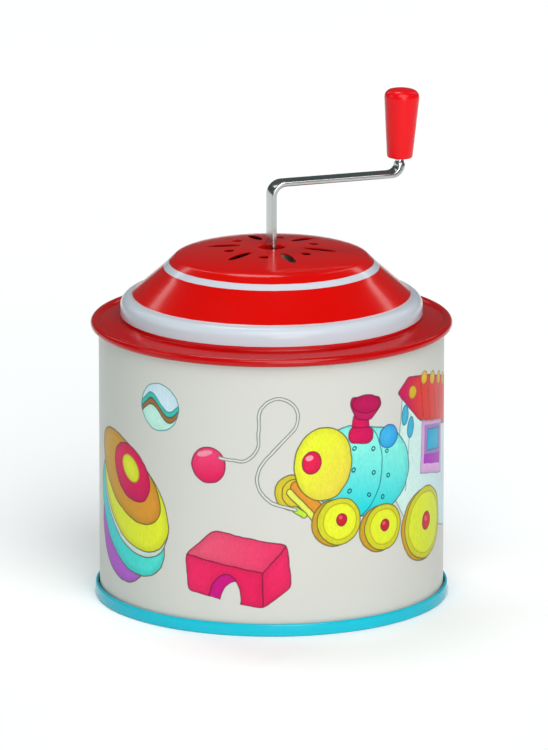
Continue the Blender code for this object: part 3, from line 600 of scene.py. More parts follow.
def draw_arch_block(art, x, y):
    """A wooden bridge block, seen from its front left corner and above."""
    def face(*places, soft=0.4):
        return art.shape(*[(x + right, y + up) for right, up in places], soft=soft)
    block = face((-11.1, -6.8), (12.1, -11.1), (20.8, -4.3), (19.3, 8.2), (-2.7, 12.2),
                 (-12.0, 4.0), soft=2.4)
    top = art.within(face((-13.0, 3.9), (12.0, -0.3), (21.6, 10.4), (-2.7, 14.0)), block)
    side = art.within(face((11.9, -14.0), (24.0, -6.0), (22.0, 11.2), (11.9, -0.1)), block)
    front = art.within(face((-13.0, -8.0), (12.1, -12.0), (12.1, -0.1), (-13.0, 4.2)), block)
    arch = art.ellipse(x + 0.6, y - 9.2, 4.9, 8.0, -6)
    red = ink(232, 40, 98)
    slant = x * 0.34 + y * 0.94
    art.paint(side, art.blend(CRIMSON, red, 70, slant - 8, slant + 12), PLUM)
    art.paint(top, art.blend(ink(226, 88, 116), red, 0, x - 8, x + 20), PLUM)
    art.paint(art.without(front, arch), art.blend(red, CRIMSON, 0, x - 12, x + 14), PLUM)
    inner = art.within(art.without(arch, art.ellipse(x + 3.6, y - 10.4, 4.6, 7.4, -6)), front)
    art.paint(inner, ink(206, 14, 130), PLUM, 0.3)


def draw_wheel(art, x, y, across, up):
    """A wooden wheel with a red hub, seen from a little behind."""
    art.paint(art.ellipse(x - 1.7, y - 0.3, across, up), OCHRE, LINE)
    art.paint(art.ellipse(x, y, across, up), art.blend(LEMON, ink(196, 214, 36), -60, -20, 40),
              LINE)
    art.stroke(art.ellipse(x + 0.1, y, across - 0.9, up - 0.9), MUSTARD, 1.3, 0.3)
    art.stroke(art.ellipse(x + 0.2, y, across - 1.6, up - 1.6), MUSTARD, 0.45, 0.7)
    art.paint(art.ellipse(x + 0.6, y + 0.3, across * 0.23, up * 0.25), ink(206, 30, 50), PLUM)
    art.paint(art.ellipse(x + 0.2, y + 1.0, across * 0.08, up * 0.08), ROSE, None)


def draw_rivets(art, places, radius=0.55):
    """Small rings where plates are riveted."""
    rings = [art.ellipse(x, y, radius, radius) for x, y in places]
    art.stroke(art.nearest(*rings), DEEP_TEAL, 0.45, 1.0)


def draw_engine(art):
    """A pull-along wooden engine."""
    art.paint(art.ellipse(5.9, 43.8, 4.9, 5.3, 10), ink(214, 196, 50), LINE)
    art.stroke(art.ellipse(6.8, 43.6, 3.7, 4.2, 10), LINE, 0.35)
    art.paint(art.bar((7.4, 45.4), (15.7, 36.4), 1.8), ORANGE, ink(130, 70, 24))
    art.paint(art.bar((5.4, 43.8), (13.8, 34.8), 1.0), PALE_LEMON, LINE)
    art.paint(art.bar((6.8, 38.8), (9.6, 36.8), 0.9), ink(190, 236, 60), LINE, 0.35)
    cab = art.shape((44.2, 70.0), (40.6, 38.0), (46.0, 30.0), (77.6, 22.0), (79.0, 62.0),
                    (60.0, 68.0))
    art.paint(cab, art.blend(PALE_MINT, PALE_BLUE, 0, 44, 80), GREY, press=0.2)
    art.stroke(art.bar((48.2, 62.5), (45.6, 40.0)), GREY, 0.35)
    boiler = art.ellipse(29.0, 49.0, 18.2, 14.2, -10)
    boiler = art.within(boiler, art.shape((14, 34.5), (52, 30), (52, 58.2), (14, 64.8), soft=3.0))
    art.paint(boiler, art.blend(TURQUOISE, AQUA, 84, 40, 60), DEEP_TEAL, 0.42)
    seam = art.within(abs(art.ellipse(23.4, 49.4, 12.2, 16.0, -4)), boiler)
    seam = art.within(seam, 26.0 - art.apart(art.point)[0])
    art.stroke(seam, DEEP_TEAL, 0.42, 0.8)
    draw_rivets(art, [(25.6, 56.0), (25.4, 49.2), (24.0, 43.0), (32.2, 55.0), (32.6, 47.6),
                      (30.8, 41.0), (37.4, 53.4), (38.0, 46.0), (35.9, 39.6)])
    base = art.shape((24.5, 59.0), (31.3, 58.0), (30.4, 65.4), (25.3, 66.0), soft=1.5)
    cap = art.shape((26.2, 64.6), (31.4, 63.8), (35.4, 68.0), (34.4, 70.8), (24.6, 71.6),
                    (24.0, 69.2), soft=1.8)
    art.paint(base, art.blend(CRIMSON, DEEP_ROSE, 0, 24, 33), PLUM)
    art.paint(art.box(27.9, 59.7, 8.6, 4.8, -8, 2.0), art.blend(CRIMSON, DEEP_ROSE, 0, 23, 34),
              PLUM)
    art.paint(cap, art.blend(ink(190, 28, 90), DEEP_ROSE, 0, 24, 35), PLUM)
    art.paint(art.ellipse(29.8, 68.9, 5.1, 2.8, -6), ink(186, 14, 84), PLUM)
    art.paint(art.ellipse(38.2, 57.9, 3.6, 3.5, -12), art.blend(BLUE, SKY, 150, -14, 2), DEEP_BLUE)
    nose = art.ellipse(15.7, 52.1, 9.0, 11.2, -6)
    art.paint(nose, art.blend(LEMON, ink(230, 206, 76), -40, -26.0, -10.0), LINE, 0.42)
    art.paint(art.ellipse(12.0, 52.6, 2.9, 3.5, -14), ink(226, 26, 76), PLUM)
    art.paint(art.ellipse(11.3, 54.2, 1.2, 0.8, 20), ink(250, 160, 180), None)
    roof = art.shape((41.8, 70.4), (52.6, 59.8), (81.4, 52.6), (80.8, 67.0), (58.0, 73.0),
                     (46.6, 74.4), soft=1.6)
    art.paint(roof, art.blend(DEEP_ROSE, SCARLET, 0, 45, 53), PLUM, 0.42)
    ribs = [art.bar((x, 71.2 - (x - 52) * 0.3), (x + 1.4, 61.0 - (x - 52) * 0.3))
            for x in (53.5, 58.0, 62.5, 67.0, 71.5, 76.0)]
    art.stroke(art.nearest(*ribs), ink(150, 20, 16), 0.6, 0.6)
    for x, y in ((49.0, 69.4), (55.6, 72.4), (61.4, 71.2), (67.4, 69.8), (73.4, 68.2),
                 (78.8, 66.8)):
        art.paint(art.ellipse(x, y, 1.9, 2.0, 8),
                  art.blend(ink(236, 200, 40), OCHRE, -90, -74, -66), ink(150, 80, 20), 0.35)
    ovals = art.nearest(art.ellipse(45.3, 63.0, 1.5, 3.1, -8),
                        art.ellipse(48.0, 58.8, 1.5, 3.1, -8))
    art.paint(ovals, ink(64, 180, 216), DEEP_TEAL, 0.35)
    art.paint(art.shape((53.4, 43.6), (70.2, 40.0), (70.6, 56.4), (54.4, 59.4)), PINK, GREY, 0.35)
    art.paint(art.shape((55.4, 46.0), (68.6, 43.4), (68.8, 47.2), (55.7, 49.4)), MAUVE, None)
    art.paint(art.shape((55.8, 49.0), (68.9, 46.8), (69.3, 55.4), (56.2, 57.8)), LILAC, GREY, 0.35)
    art.paint(art.shape((57.6, 49.6), (67.6, 48.0), (67.9, 54.6), (57.9, 56.2)),
              ink(30, 176, 216), DEEP_TEAL, 0.35)
    draw_wheel(art, 36.2, 30.4, 7.0, 7.0)
    draw_wheel(art, 20.8, 34.1, 7.0, 7.2)
    draw_wheel(art, 56.6, 27.7, 11.2, 11.0)


def draw_wagon(art, x, y):
    """A wooden wagon that follows the engine, loaded with two blocks and a ball."""
    art.paint(art.box(x - 7, y + 14.5, 11, 11, -4), LEMON, LINE, 0.3)
    art.paint(art.box(x - 7, y + 14.5, 5.5, 5.5, 41), SCARLET, PLUM, 0.25)
    draw_ball(art, x + 4.5, y + 14.5, 5.6)
    art.paint(art.box(x + 13.0, y + 13.2, 8, 9, 8), TEAL, DEEP_TEAL, 0.3)
    art.paint(art.bar((x - 23.5, y + 1.5), (x - 16, y + 1.5), 0.9), OCHRE, LINE, 0.35)
    art.paint(art.shape((x - 16, y - 2), (x + 17, y - 2), (x + 20, y + 10), (x - 18, y + 10)),
              art.blend(BLUE, SKY, 90, y - 4, y + 12), DEEP_BLUE, 0.32)
    art.stroke(art.bar((x - 15.4, y + 4.0), (x + 17.6, y + 4.0)), PALE_BLUE, 0.5)
    draw_wheel(art, x - 9.5, y - 5.0, 6.2, 6.2)
    draw_wheel(art, x + 11.0, y - 5.0, 6.2, 6.2)


def draw_top(art, x, y):
    """A spinning top with painted bands."""
    art.paint(art.bar((x - 3.4, y + 13.0), (x - 2.2, y + 19.5), 1.1), OCHRE, LINE, 0.3)
    art.paint(art.ellipse(x - 2.0, y + 20.2, 2.6, 2.0, -10), SCARLET, PLUM, 0.3)
    art.paint(art.shape((x - 1.0, y - 16), (x + 2.6, y - 16), (x + 13.5, y - 1.0),
                        (x - 12.5, y - 4.0), soft=2.0),
              art.blend(MAUVE, LILAC, 0, x - 10, x + 10), PLUM, 0.3)
    body = art.ellipse(x, y + 3.0, 15.5, 11.0, 6)
    art.paint(body, art.blend(TURQUOISE, AQUA, 80, y - 4, y + 12), DEEP_TEAL, 0.32)
    art.paint(art.within(abs(art.ellipse(x - 0.6, y + 8.0, 15.5, 9.0, 6)) - 1.5, body), LEMON, LINE,
              0.28)
    art.paint(art.within(abs(art.ellipse(x, y + 3.4, 17.0, 8.6, 6) - 2.0) - 1.1, body), CRIMSON,
              PLUM, 0.28)


def draw_toy_drum(art, x, y):
    """A toy drum with laced sides, and its stick."""
    art.paint(art.bar((x - 8, y + 17), (x + 12, y + 24), 0.8), OCHRE, LINE, 0.28)
    art.paint(art.ellipse(x + 12.6, y + 24.2, 2.1, 1.8), SCARLET, PLUM, 0.28)
    side = art.nearest(art.box(x, y, 26, 18, 0, 0.6), art.ellipse(x, y - 9, 13, 4.2))
    art.paint(side, art.blend(SCARLET, ROSE, 0, x - 6, x + 14), PLUM, 0.32)
    lacing = [art.bar((x - 13 + 5.2 * i, y - 8), (x - 10.4 + 5.2 * i, y + 6)) for i in range(5)]
    lacing += [art.bar((x - 10.4 + 5.2 * i, y + 6), (x - 7.8 + 5.2 * i, y - 8)) for i in range(5)]
    art.stroke(art.nearest(*lacing), LEMON, 0.55)
    hoop = art.within(abs(art.ellipse(x, y - 8.4, 13.4, 4.4)) - 1.1,
                      art.apart(art.point)[1] - (y - 8.4))
    art.paint(hoop, BLUE, DEEP_BLUE, 0.28)
    art.paint(art.ellipse(x, y + 8.6, 13.4, 4.6), BLUE, DEEP_BLUE, 0.3)
    art.paint(art.ellipse(x, y + 9.6, 12.2, 3.8), WHITE, GREY, 0.28)


def draw_boat(art, x, y):
    """A little sailing boat."""
    art.paint(art.bar((x, y - 2), (x + 0.6, y + 20), 0.5), BROWN, LINE, 0.25)
    art.paint(art.shape((x + 1.8, y + 1.0), (x + 13.0, y + 1.6), (x + 1.6, y + 19.0)),
              art.blend(WHITE, PALE_BLUE, 0, x, x + 12), GREY, 0.3)
    art.paint(art.shape((x - 10.5, y + 1.2), (x - 1.0, y + 1.0), (x - 0.6, y + 16.0)), LEMON,
              LINE, 0.3)
    art.paint(art.shape((x - 9.0, y - 8.0), (x + 9.5, y - 8.0), (x + 15.5, y - 0.6),
                        (x - 13.5, y - 0.6), soft=1.2), art.blend(GREEN, TEAL, 90, y - 8, y),
              DEEP_TEAL, 0.32)
    art.stroke(art.bar((x - 11.6, y - 3.2), (x + 13.2, y - 3.2)), WHITE, 0.6)


def draw_cubes(art, x, y):
    """Three plain building blocks in a pile."""
    for right, up, face, lid, flank in ((-7.2, 0.0, SKY, PALE_BLUE, BLUE),
                                        (7.4, -0.8, GREEN, ink(160, 220, 130), TEAL),
                                        (0.6, 12.6, LEMON, PALE_LEMON, OCHRE)):
        left, low = x + right - 6, y + up - 6
        art.paint(art.shape((left + 11, low), (left + 14.2, low + 2.4), (left + 14.2, low + 13),
                            (left + 11, low + 11)), flank, LINE, 0.28)
        art.paint(art.shape((left, low + 11), (left + 11, low + 11), (left + 14.2, low + 13),
                            (left + 3.4, low + 13.4)), lid, LINE, 0.28)
        art.paint(art.shape((left, low), (left + 11, low), (left + 11, low + 11), (left, low + 11)),
                  face, LINE, 0.3)


# Each part of the print: a name, its left, right, bottom and top in millimetres, and its motifs,
# each with its place and any size it takes.
PANELS = (
    ("print of the bridge block", -27.5, 8.0, 5.0, 32.6, ((draw_arch_block, -14.7, 19.5),)),
    ("print of the rings and marble", -78.0, -26.5, 5.0, 82.0,
     ((draw_ring_stack, -52.0, 43.0), (draw_marble, -36.2, 67.1, 7.2))),
    ("print of the engine", -26.5, 82.5, 5.0, 82.0,
     ((draw_ball, -19.2, 51.5, 5.4), (draw_engine,), (draw_string,))),
    ("print of the wagon", 82.5, 129.5, 5.0, 82.0,
     ((draw_wagon, 108.0, 32.0), (draw_marble, 96.0, 68.0, 6.0))),
    ("print of the spinning top", 129.5, 161.0, 5.0, 82.0, ((draw_top, 146.0, 36.0),)),
    ("print of the drum and boat", -161.0, -78.0, 5.0, 82.0,
     ((draw_toy_drum, -138.0, 30.0), (draw_cubes, -92.0, 24.0), (draw_boat, -102.0, 60.0))),
)


def print_materials():
    """The plain ground, and the material of each part of the print."""
    made = [Print("cream printed tin").finished()]
    for name, *_edges, motifs in PANELS:
        art = Print(name)
        for draw, *place in motifs:
            draw(art, *place)
        made.append(art.finished())
    return made


# Meshes

def profile(corners):
    """A line of (radius, height, setback) corners in the XZ plane, rounded where asked."""
    bm = bmesh.new()
    verts = [bm.verts.new((corner[0] * MM, 0, corner[1] * MM)) for corner in corners]
    for first, second in zip(verts, verts[1:]):
        bm.edges.new((first, second))
    for vert, corner in zip(verts, corners):
        if len(corner) > 2:
            bmesh.ops.bevel(bm, geom=[vert], offset=corner[2] * MM, segments=5, profile=0.5,
                            affect="VERTICES", offset_type="OFFSET", material=-1)
    return bm


def lathe(bm, steps, corners):
    """Spin a line about Z, with the visible side on the left of the way it was drawn."""
    bmesh.ops.spin(bm, geom=bm.edges[:], cent=(0, 0, 0), axis=(0, 0, 1), angle=2 * pi, steps=steps,
                   use_merge=True)
    bmesh.ops.remove_doubles(bm, verts=bm.verts, dist=1e-6)
    bmesh.ops.recalc_face_normals(bm, faces=bm.faces)
    start = Vector((corners[0][0], 0, corners[0][1])) * MM
    way = Vector((corners[1][0], 0, corners[1][1])) * MM - start
    left = Vector((-way.z, 0, way.x))
    middle = start + way / 2
    nearest = min(bm.faces, key=lambda face: (face.calc_center_median() - middle).length)
    if nearest.normal.dot(left) < 0:
        bmesh.ops.reverse_faces(bm, faces=bm.faces)
    return bm


def add_piece(name, bm, materials, smooth=30.0):
    """Make a mesh a piece, shaded smooth up to an angle."""
    mesh = bpy.data.meshes.new(name)
    bm.to_mesh(mesh)
    bm.free()
    for material in materials:
        mesh.materials.append(material)
    mesh.shade_smooth()
    mesh.set_sharp_from_angle(angle=radians(smooth))
    piece = bpy.data.objects.new(name, mesh)
    bpy.context.collection.objects.link(piece)
    return piece


def thicken(piece, thickness):
    """Give a sheet its thickness, away from its visible side."""
    step = piece.modifiers.new("sheet", "SOLIDIFY")
    step.thickness = thickness
    step.offset = -1.0


def only(grown, kind):
    """The vertices or the faces that an extrusion made."""
    return [item for item in grown["geom"] if isinstance(item, kind)]


def settle(piece):
    """Apply a piece's modifiers, and drop the slivers that cutting holes leaves."""
    graph = bpy.context.evaluated_depsgraph_get()
    mesh = bpy.data.meshes.new_from_object(piece.evaluated_get(graph))
    mesh.name = piece.name
    bm = bmesh.new()
    bm.from_mesh(mesh)
    bmesh.ops.remove_doubles(bm, verts=bm.verts, dist=2e-6)
    bmesh.ops.dissolve_degenerate(bm, edges=bm.edges, dist=1e-6)
    bm.to_mesh(mesh)
    bm.free()
    piece.modifiers.clear()
    piece.data = mesh


def punch(piece, cutters, crossing=False):
    """Cut holes in a piece, and drop the cutters, which may cross each other if told so."""
    for cutter in cutters:
        step = piece.modifiers.new("hole", "BOOLEAN")
        step.object = cutter
        step.solver = "EXACT"
        step.use_self = crossing
    settle(piece)
    for cutter in cutters:
        bpy.data.objects.remove(cutter)


def lay(piece, body, slot, *nodes):
    """Attach a finished piece to the body it rides on, and hide the nodes it stands for. The slot is not used."""
    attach(piece, body)
    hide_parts(*nodes)


class MUSICBOX_OT_drum(bpy.types.Operator):
    """The printed drum, with its side seam"""

    bl_idname = "musicbox.drum"
    bl_label = "Printed drum"

    rows = 28
    seam_half = 2.0 * MM
    seam_low, seam_high = 5.0 * MM, 81.0 * MM
    seam_lift = 0.35 * MM

    def execute(self, context):
        radius = sizes().drum_radius / MM
        top = DRUM_HIGH[2] / MM - 0.1
        corners = [(radius + 1.2, top), (radius, top, 0.3), (radius, 1.1, 0.2), (radius + 0.5, 1.1)]
        bm = profile(corners)
        wall = max(bm.edges, key=lambda edge: edge.calc_length())
        bmesh.ops.subdivide_edges(bm, edges=[wall], cuts=self.rows - 1)
        lathe(bm, DRUM_STEPS, corners)
        self.fold_seam(bm)
        self.panel_faces(bm)
        drum = add_piece("printed_drum", bm, print_materials())
        thicken(drum, sizes().sheet)
        settle(drum)
        lay(drum, "case", "printed_tin", "can_wall")
        return {"FINISHED"}

    def fold_seam(self, bm):
        """Raise the folded lap that closes the sheet at the back."""
        lap = []
        for face in bm.faces:
            middle = face.calc_center_median()
            across = sizes().drum_radius * abs((atan2(middle.y, middle.x) - FRONT) % (2 * pi) - pi)
            if across < self.seam_half and self.seam_low < middle.z < self.seam_high:
                lap.append(face)
        raised = bmesh.ops.extrude_face_region(bm, geom=lap)
        bmesh.ops.delete(bm, geom=lap, context="FACES_ONLY")
        for vert in only(raised, BMVert):
            vert.co += Vector((vert.co.x, vert.co.y, 0)).normalized() * self.seam_lift

    @staticmethod
    def panel_faces(bm):
        """Give each face the material of the part of the print it lies in."""
        for face in bm.faces:
            middle = face.calc_center_median()
            turn = (atan2(middle.y, middle.x) - FRONT + pi) % (2 * pi) - pi
            right, up = turn * sizes().drum_radius / MM, middle.z / MM
            for index, (_name, start, end, low, high, _motifs) in enumerate(PANELS, 1):
                if start <= right < end and low <= up < high:
                    face.material_index = index
                    break


class MUSICBOX_OT_lid(bpy.types.Operator):
    """The domed lid, with its sound holes and curled edge"""

    bl_idname = "musicbox.lid"
    bl_label = "Domed lid"

    # Millimetres and degrees of the crown's curve, and of the curl round the lid's edge
    shoulder, rise = 29.5, 3.6
    first_lean, last_lean, dome_steps = 12, 82.5, 12
    bead, bead_height = 1.3, 83.75
    bead_start, bead_steps = 150, 16

    def execute(self, context):
        crown = sizes().crown / MM
        corners = [(3.9, 104.4), (3.9, crown - 0.05, 0.9)]
        for i in range(self.dome_steps + 1):
            lean = self.first_lean + (self.last_lean - self.first_lean) * i / self.dome_steps
            corners.append((self.shoulder * sin(radians(lean)),
                            crown - self.rise + self.rise * cos(radians(lean))))
        corners += [(33.0, 100.2, 1.0), (42.1, 92.2, 0.45), (45.5, 91.7, 2.6),
                    (45.5, 85.4, 0.4), (51.9, 84.25)]
        centre = sizes().lid_radius / MM - self.bead
        for i in range(self.bead_steps + 1):
            turn = radians(self.bead_start - 2 * self.bead_start * i / self.bead_steps)
            corners.append((centre + self.bead * cos(turn),
                            self.bead_height + self.bead * sin(turn)))
        bm = lathe(profile(corners), LID_STEPS, corners)
        lid = add_piece("lacquered_lid", bm, [red_lacquer()])
        thicken(lid, sizes().sheet)
        punch(lid, self.sound_holes(crown))
        lid.data.shade_smooth()
        lid.data.set_sharp_from_angle(angle=radians(30))
        lay(lid, "case", "red_tin", "dome_lid")
        return {"FINISHED"}

    @staticmethod
    def sound_holes(crown):
        """Punches for the long and the round holes, in turn round the crown."""
        kinds = ((14.6 * MM, sizes().petal_length / 2, sizes().petal_width / 2, 0.0),
                 (13.5 * MM, sizes().round_hole, sizes().round_hole, 0.5))
        punches = []
        for reach, long, wide, offset in kinds:
            for i in range(sizes().holes):
                turn = Matrix.Rotation(radians(-90) + 2 * pi * (i + offset) / sizes().holes, 4, "Z")
                bm = bmesh.new()
                shape = turn @ Matrix.Translation((reach, 0, (crown - 6) * MM)) \
                    @ Matrix.Diagonal((long, wide, 1, 1))
                bmesh.ops.create_circle(bm, cap_ends=True, radius=1, segments=32, matrix=shape)
                grown = bmesh.ops.extrude_face_region(bm, geom=bm.faces[:], use_keep_orig=True)
                bmesh.ops.translate(bm, vec=(0, 0, 8 * MM), verts=only(grown, BMVert))
                bmesh.ops.recalc_face_normals(bm, faces=bm.faces)
                punches.append(add_piece(f"punch_{len(punches) + 1}", bm, []))
        return punches


class MUSICBOX_OT_base(bpy.types.Operator):
    """The base pan, with its rolled rim and the screws under its floor"""

    bl_idname = "musicbox.base"
    bl_label = "Base pan"

    def execute(self, context):
        rim = sizes().base_radius / MM
        top = sizes().base_height / MM
        corners = [(0.0, 2.1), (14.2, 2.1, 0.5), (15.0, 2.6, 0.5), (35.2, 2.6, 0.5),
                   (36.0, 1.9, 0.5), (40.2, 1.9, 0.5), (41.0, 2.6, 0.5), (50.3, 2.6, 0.5),
                   (51.3, 0.0, 0.3), (52.5, 0.0), (rim, 0.0, 0.7), (rim - 0.2, top, 0.6),
                   (52.45, top - 0.15)]
        bm = lathe(profile(corners), LID_STEPS, corners)
        bmesh.ops.reverse_faces(bm, faces=bm.faces)      # the floor is seen from below
        pan = add_piece("lacquered_base", bm, [blue_lacquer()])
        thicken(pan, sizes().sheet)
        settle(pan)
        lay(pan, "case", "blue_tin", "base_pan")
        for index in (1, 2, 3):
            self.screw(index)
        return {"FINISHED"}

    @staticmethod
    def screw(index):
        """A cross-recessed screw head under the floor."""
        node = f"bedplate_screw_{index}"
        low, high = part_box(node)
        x, y = (low[0] + high[0]) / 2, (low[1] + high[1]) / 2
        head = (high[0] - low[0]) / 2 / MM
        foot = low[2] / MM
        corners = [(0, foot + 5.0), (1.5, foot + 5.0, 0.2), (1.5, foot + 1.2, 0.1),
                   (head, foot + 1.2, 0.15), (head, foot + 0.7, 0.3),
                   (head * 0.55, foot + 0.02, 0.4), (0, foot)]
        bm = lathe(profile(corners), 32, corners)
        bmesh.ops.translate(bm, vec=(x, y, 0), verts=bm.verts)
        plate = plated_steel(f"screw plate {index}", (1, 1, 1))
        screw = add_piece(f"pan_screw_{index}", bm, [plate])
        cross = bmesh.new()
        for size in ((0.55, 3.2), (3.2, 0.55)):
            bmesh.ops.create_cube(cross, size=MM, matrix=Matrix.LocRotScale(
                (x, y, low[2]), Matrix.Rotation(0.4 * index, 3, "Z"), (*size, 1.5)))
        punch(screw, [add_piece("recess", cross, [])], crossing=True)
        lay(screw, "case", "plated_steel", node)


class MUSICBOX_OT_crank(bpy.types.Operator):
    """The crank: a flat strip bent twice, its end drawn down to the grip's pin"""

    bl_idname = "musicbox.crank"
    bl_label = "Crank"

    lower_bend = 3.8 * MM
    upper_bend = 3.2 * MM
    arm_height = 126.2 * MM
    arm_length = 41.0 * MM
    pin_radius = 1.5 * MM
    pin_thickening = 1.45         # of the strip, as its end is drawn narrower
    lean = radians(2.0)
    stem_steps, lower_steps, arm_steps, upper_steps = 10, 14, 8, 12

    def execute(self, context):
        wide, thick = sizes().strip_width, sizes().strip_thickness
        bm = bmesh.new()
        start = Matrix.Translation((0, 0, STRIP_LOW[2])) @ Matrix.Diagonal((thick, wide, 1, 1))
        bmesh.ops.create_grid(bm, x_segments=1, y_segments=1, size=0.5, matrix=start)
        bmesh.ops.bevel(bm, geom=bm.verts[:], offset=0.42 * MM, segments=3, profile=0.5,
                        affect="VERTICES", material=-1)
        self.end = bm.faces[:]
        rise = self.arm_height - self.lower_bend
        for _ in range(self.stem_steps):
            self.move(bm, Matrix.Translation((0, 0, (rise - STRIP_LOW[2]) / self.stem_steps)))
        self.bend(bm, Vector((self.lower_bend, 0, rise)), pi / 2, self.lower_steps)
        run = self.arm_length - self.lower_bend - self.upper_bend
        for _ in range(self.arm_steps):
            self.move(bm, Matrix.Translation((run / self.arm_steps, 0, 0)))
        centre = Vector((self.arm_length - self.upper_bend, 0, self.arm_height + self.upper_bend))
        turn = pi / 2 - self.lean
        self.bend(bm, centre, -turn, self.upper_steps,
                  ((wide + 2 * self.pin_radius) / 2 / wide, self.pin_thickening))
        self.to_pin(bm, turn)
        bmesh.ops.recalc_face_normals(bm, faces=bm.faces)
        finish = plated_steel("bright nickel plate", (14, 1, 14), 0.53)
        crank = add_piece("bent_crank", bm, [finish], 40)
        lay(crank, "crank", "plated_steel", "crank_strip")
        return {"FINISHED"}

    def move(self, bm, matrix):
        """Extrude the strip's end face and move it."""
        grown = bmesh.ops.extrude_face_region(bm, geom=self.end, use_keep_orig=True)
        if len(bm.faces) > 20:
            bmesh.ops.delete(bm, geom=self.end, context="FACES_ONLY")
        self.end = only(grown, BMFace)
        bmesh.ops.transform(bm, matrix=matrix, verts=only(grown, BMVert))

    def bend(self, bm, centre, angle, steps, narrowing=(1.0, 1.0)):
        """Extrude the end round a centre, easing its width and thickness to a share of them."""
        there = Matrix.Translation(centre)
        turn = there @ Matrix.Rotation(angle / steps, 4, "Y") @ there.inverted()
        width, depth = (share ** (1 / steps) for share in narrowing)
        for _ in range(steps):
            self.move(bm, turn)
            middle = self.end[0].calc_center_median()
            normal = (middle - centre).normalized()
            for vert in self.end[0].verts:
                offset = vert.co - middle
                out = offset.dot(normal)
                vert.co = middle + Vector((0, offset.y * width, 0)) + normal * out * depth

    def to_pin(self, bm, turn):
        """Draw the end down to the round pin and run the pin up into the grip."""
        along = Vector((cos(turn), 0, sin(turn)))
        for reach in (0.6, 0.6, 0.4):
            self.move(bm, Matrix.Translation(along * reach * MM))
            middle = self.end[0].calc_center_median()
            for vert in self.end[0].verts:
                offset = vert.co - middle
                round_off = offset.normalized() * self.pin_radius
                vert.co = middle + offset.lerp(round_off, 0.65)
        height = self.end[0].calc_center_median().z
        self.move(bm, Matrix.Translation(along * (STRIP_HIGH[2] - 0.2 * MM - height) / along.z))


class MUSICBOX_OT_grip(bpy.types.Operator):
    """The tapered plastic grip"""

    bl_idname = "musicbox.grip"
    bl_label = "Grip"

    def execute(self, context):
        joint = next(item for item in frame["joints"] if item["name"] == "grip_spin")
        height = sizes().grip_height / MM
        corners = [(1.85, 12.0), (1.85, 0.0, 0.25), (3.85, 0.0, 0.7), (5.45, height - 1.1, 2.0),
                   (0.0, height)]
        bm = lathe(profile(corners), 72, corners)
        mouth = [edge for edge in bm.edges if edge.is_boundary]
        bmesh.ops.holes_fill(bm, edges=mouth)
        bmesh.ops.recalc_face_normals(bm, faces=bm.faces)
        axis = Vector(joint["axis"])
        turn = Vector((0, 0, 1)).rotation_difference(axis).to_matrix().to_4x4()
        place = Matrix.Translation(Vector(joint["pos_m"])) @ turn
        bmesh.ops.transform(bm, matrix=place, verts=bm.verts)
        plastic = moulded_plastic("red moulded plastic", tuple(colours().grip), 0.26, seam=0.0)
        grip = add_piece("plastic_grip", bm, [plastic], 50)
        lay(grip, "grip", "red_plastic", "crank_grip")
        return {"FINISHED"}


class MUSICBOX_OT_movement(bpy.types.Operator):
    """Finishes for the comb movement and the other pieces inside"""

    bl_idname = "musicbox.movement"
    bl_label = "Movement"

    def execute(self, context):
        finishes = {
            "plated_steel": plated_steel("plated movement steel", (1, 1, 1), 0.55, 0.3),
            "spring_steel": turned_metal("blued spring steel", (0.24, 0.27, 0.32), 0.28),
            "brass": turned_metal("turned brass", (0.72, 0.50, 0.19), 0.25),
            "cast_zinc": turned_metal("cast zinc", (0.42, 0.43, 0.44), 0.5, 700),
            "nylon": moulded_plastic("natural nylon", (0.72, 0.70, 0.62), 0.45),
        }
        slots = {row["node"]: row["material_slot"] for row in frame["record"]["subparts"]}
        for name, node in frame["nodes"].items():
            if slots[name] in finishes:
                node.data.materials.clear()
                node.data.materials.append(finishes[slots[name]])
        return {"FINISHED"}


def outward(around, above):
    """The way out from the tin, at an angle round it and an angle above level."""
    return Vector((sin(around) * cos(above), -cos(around) * cos(above), sin(above)))


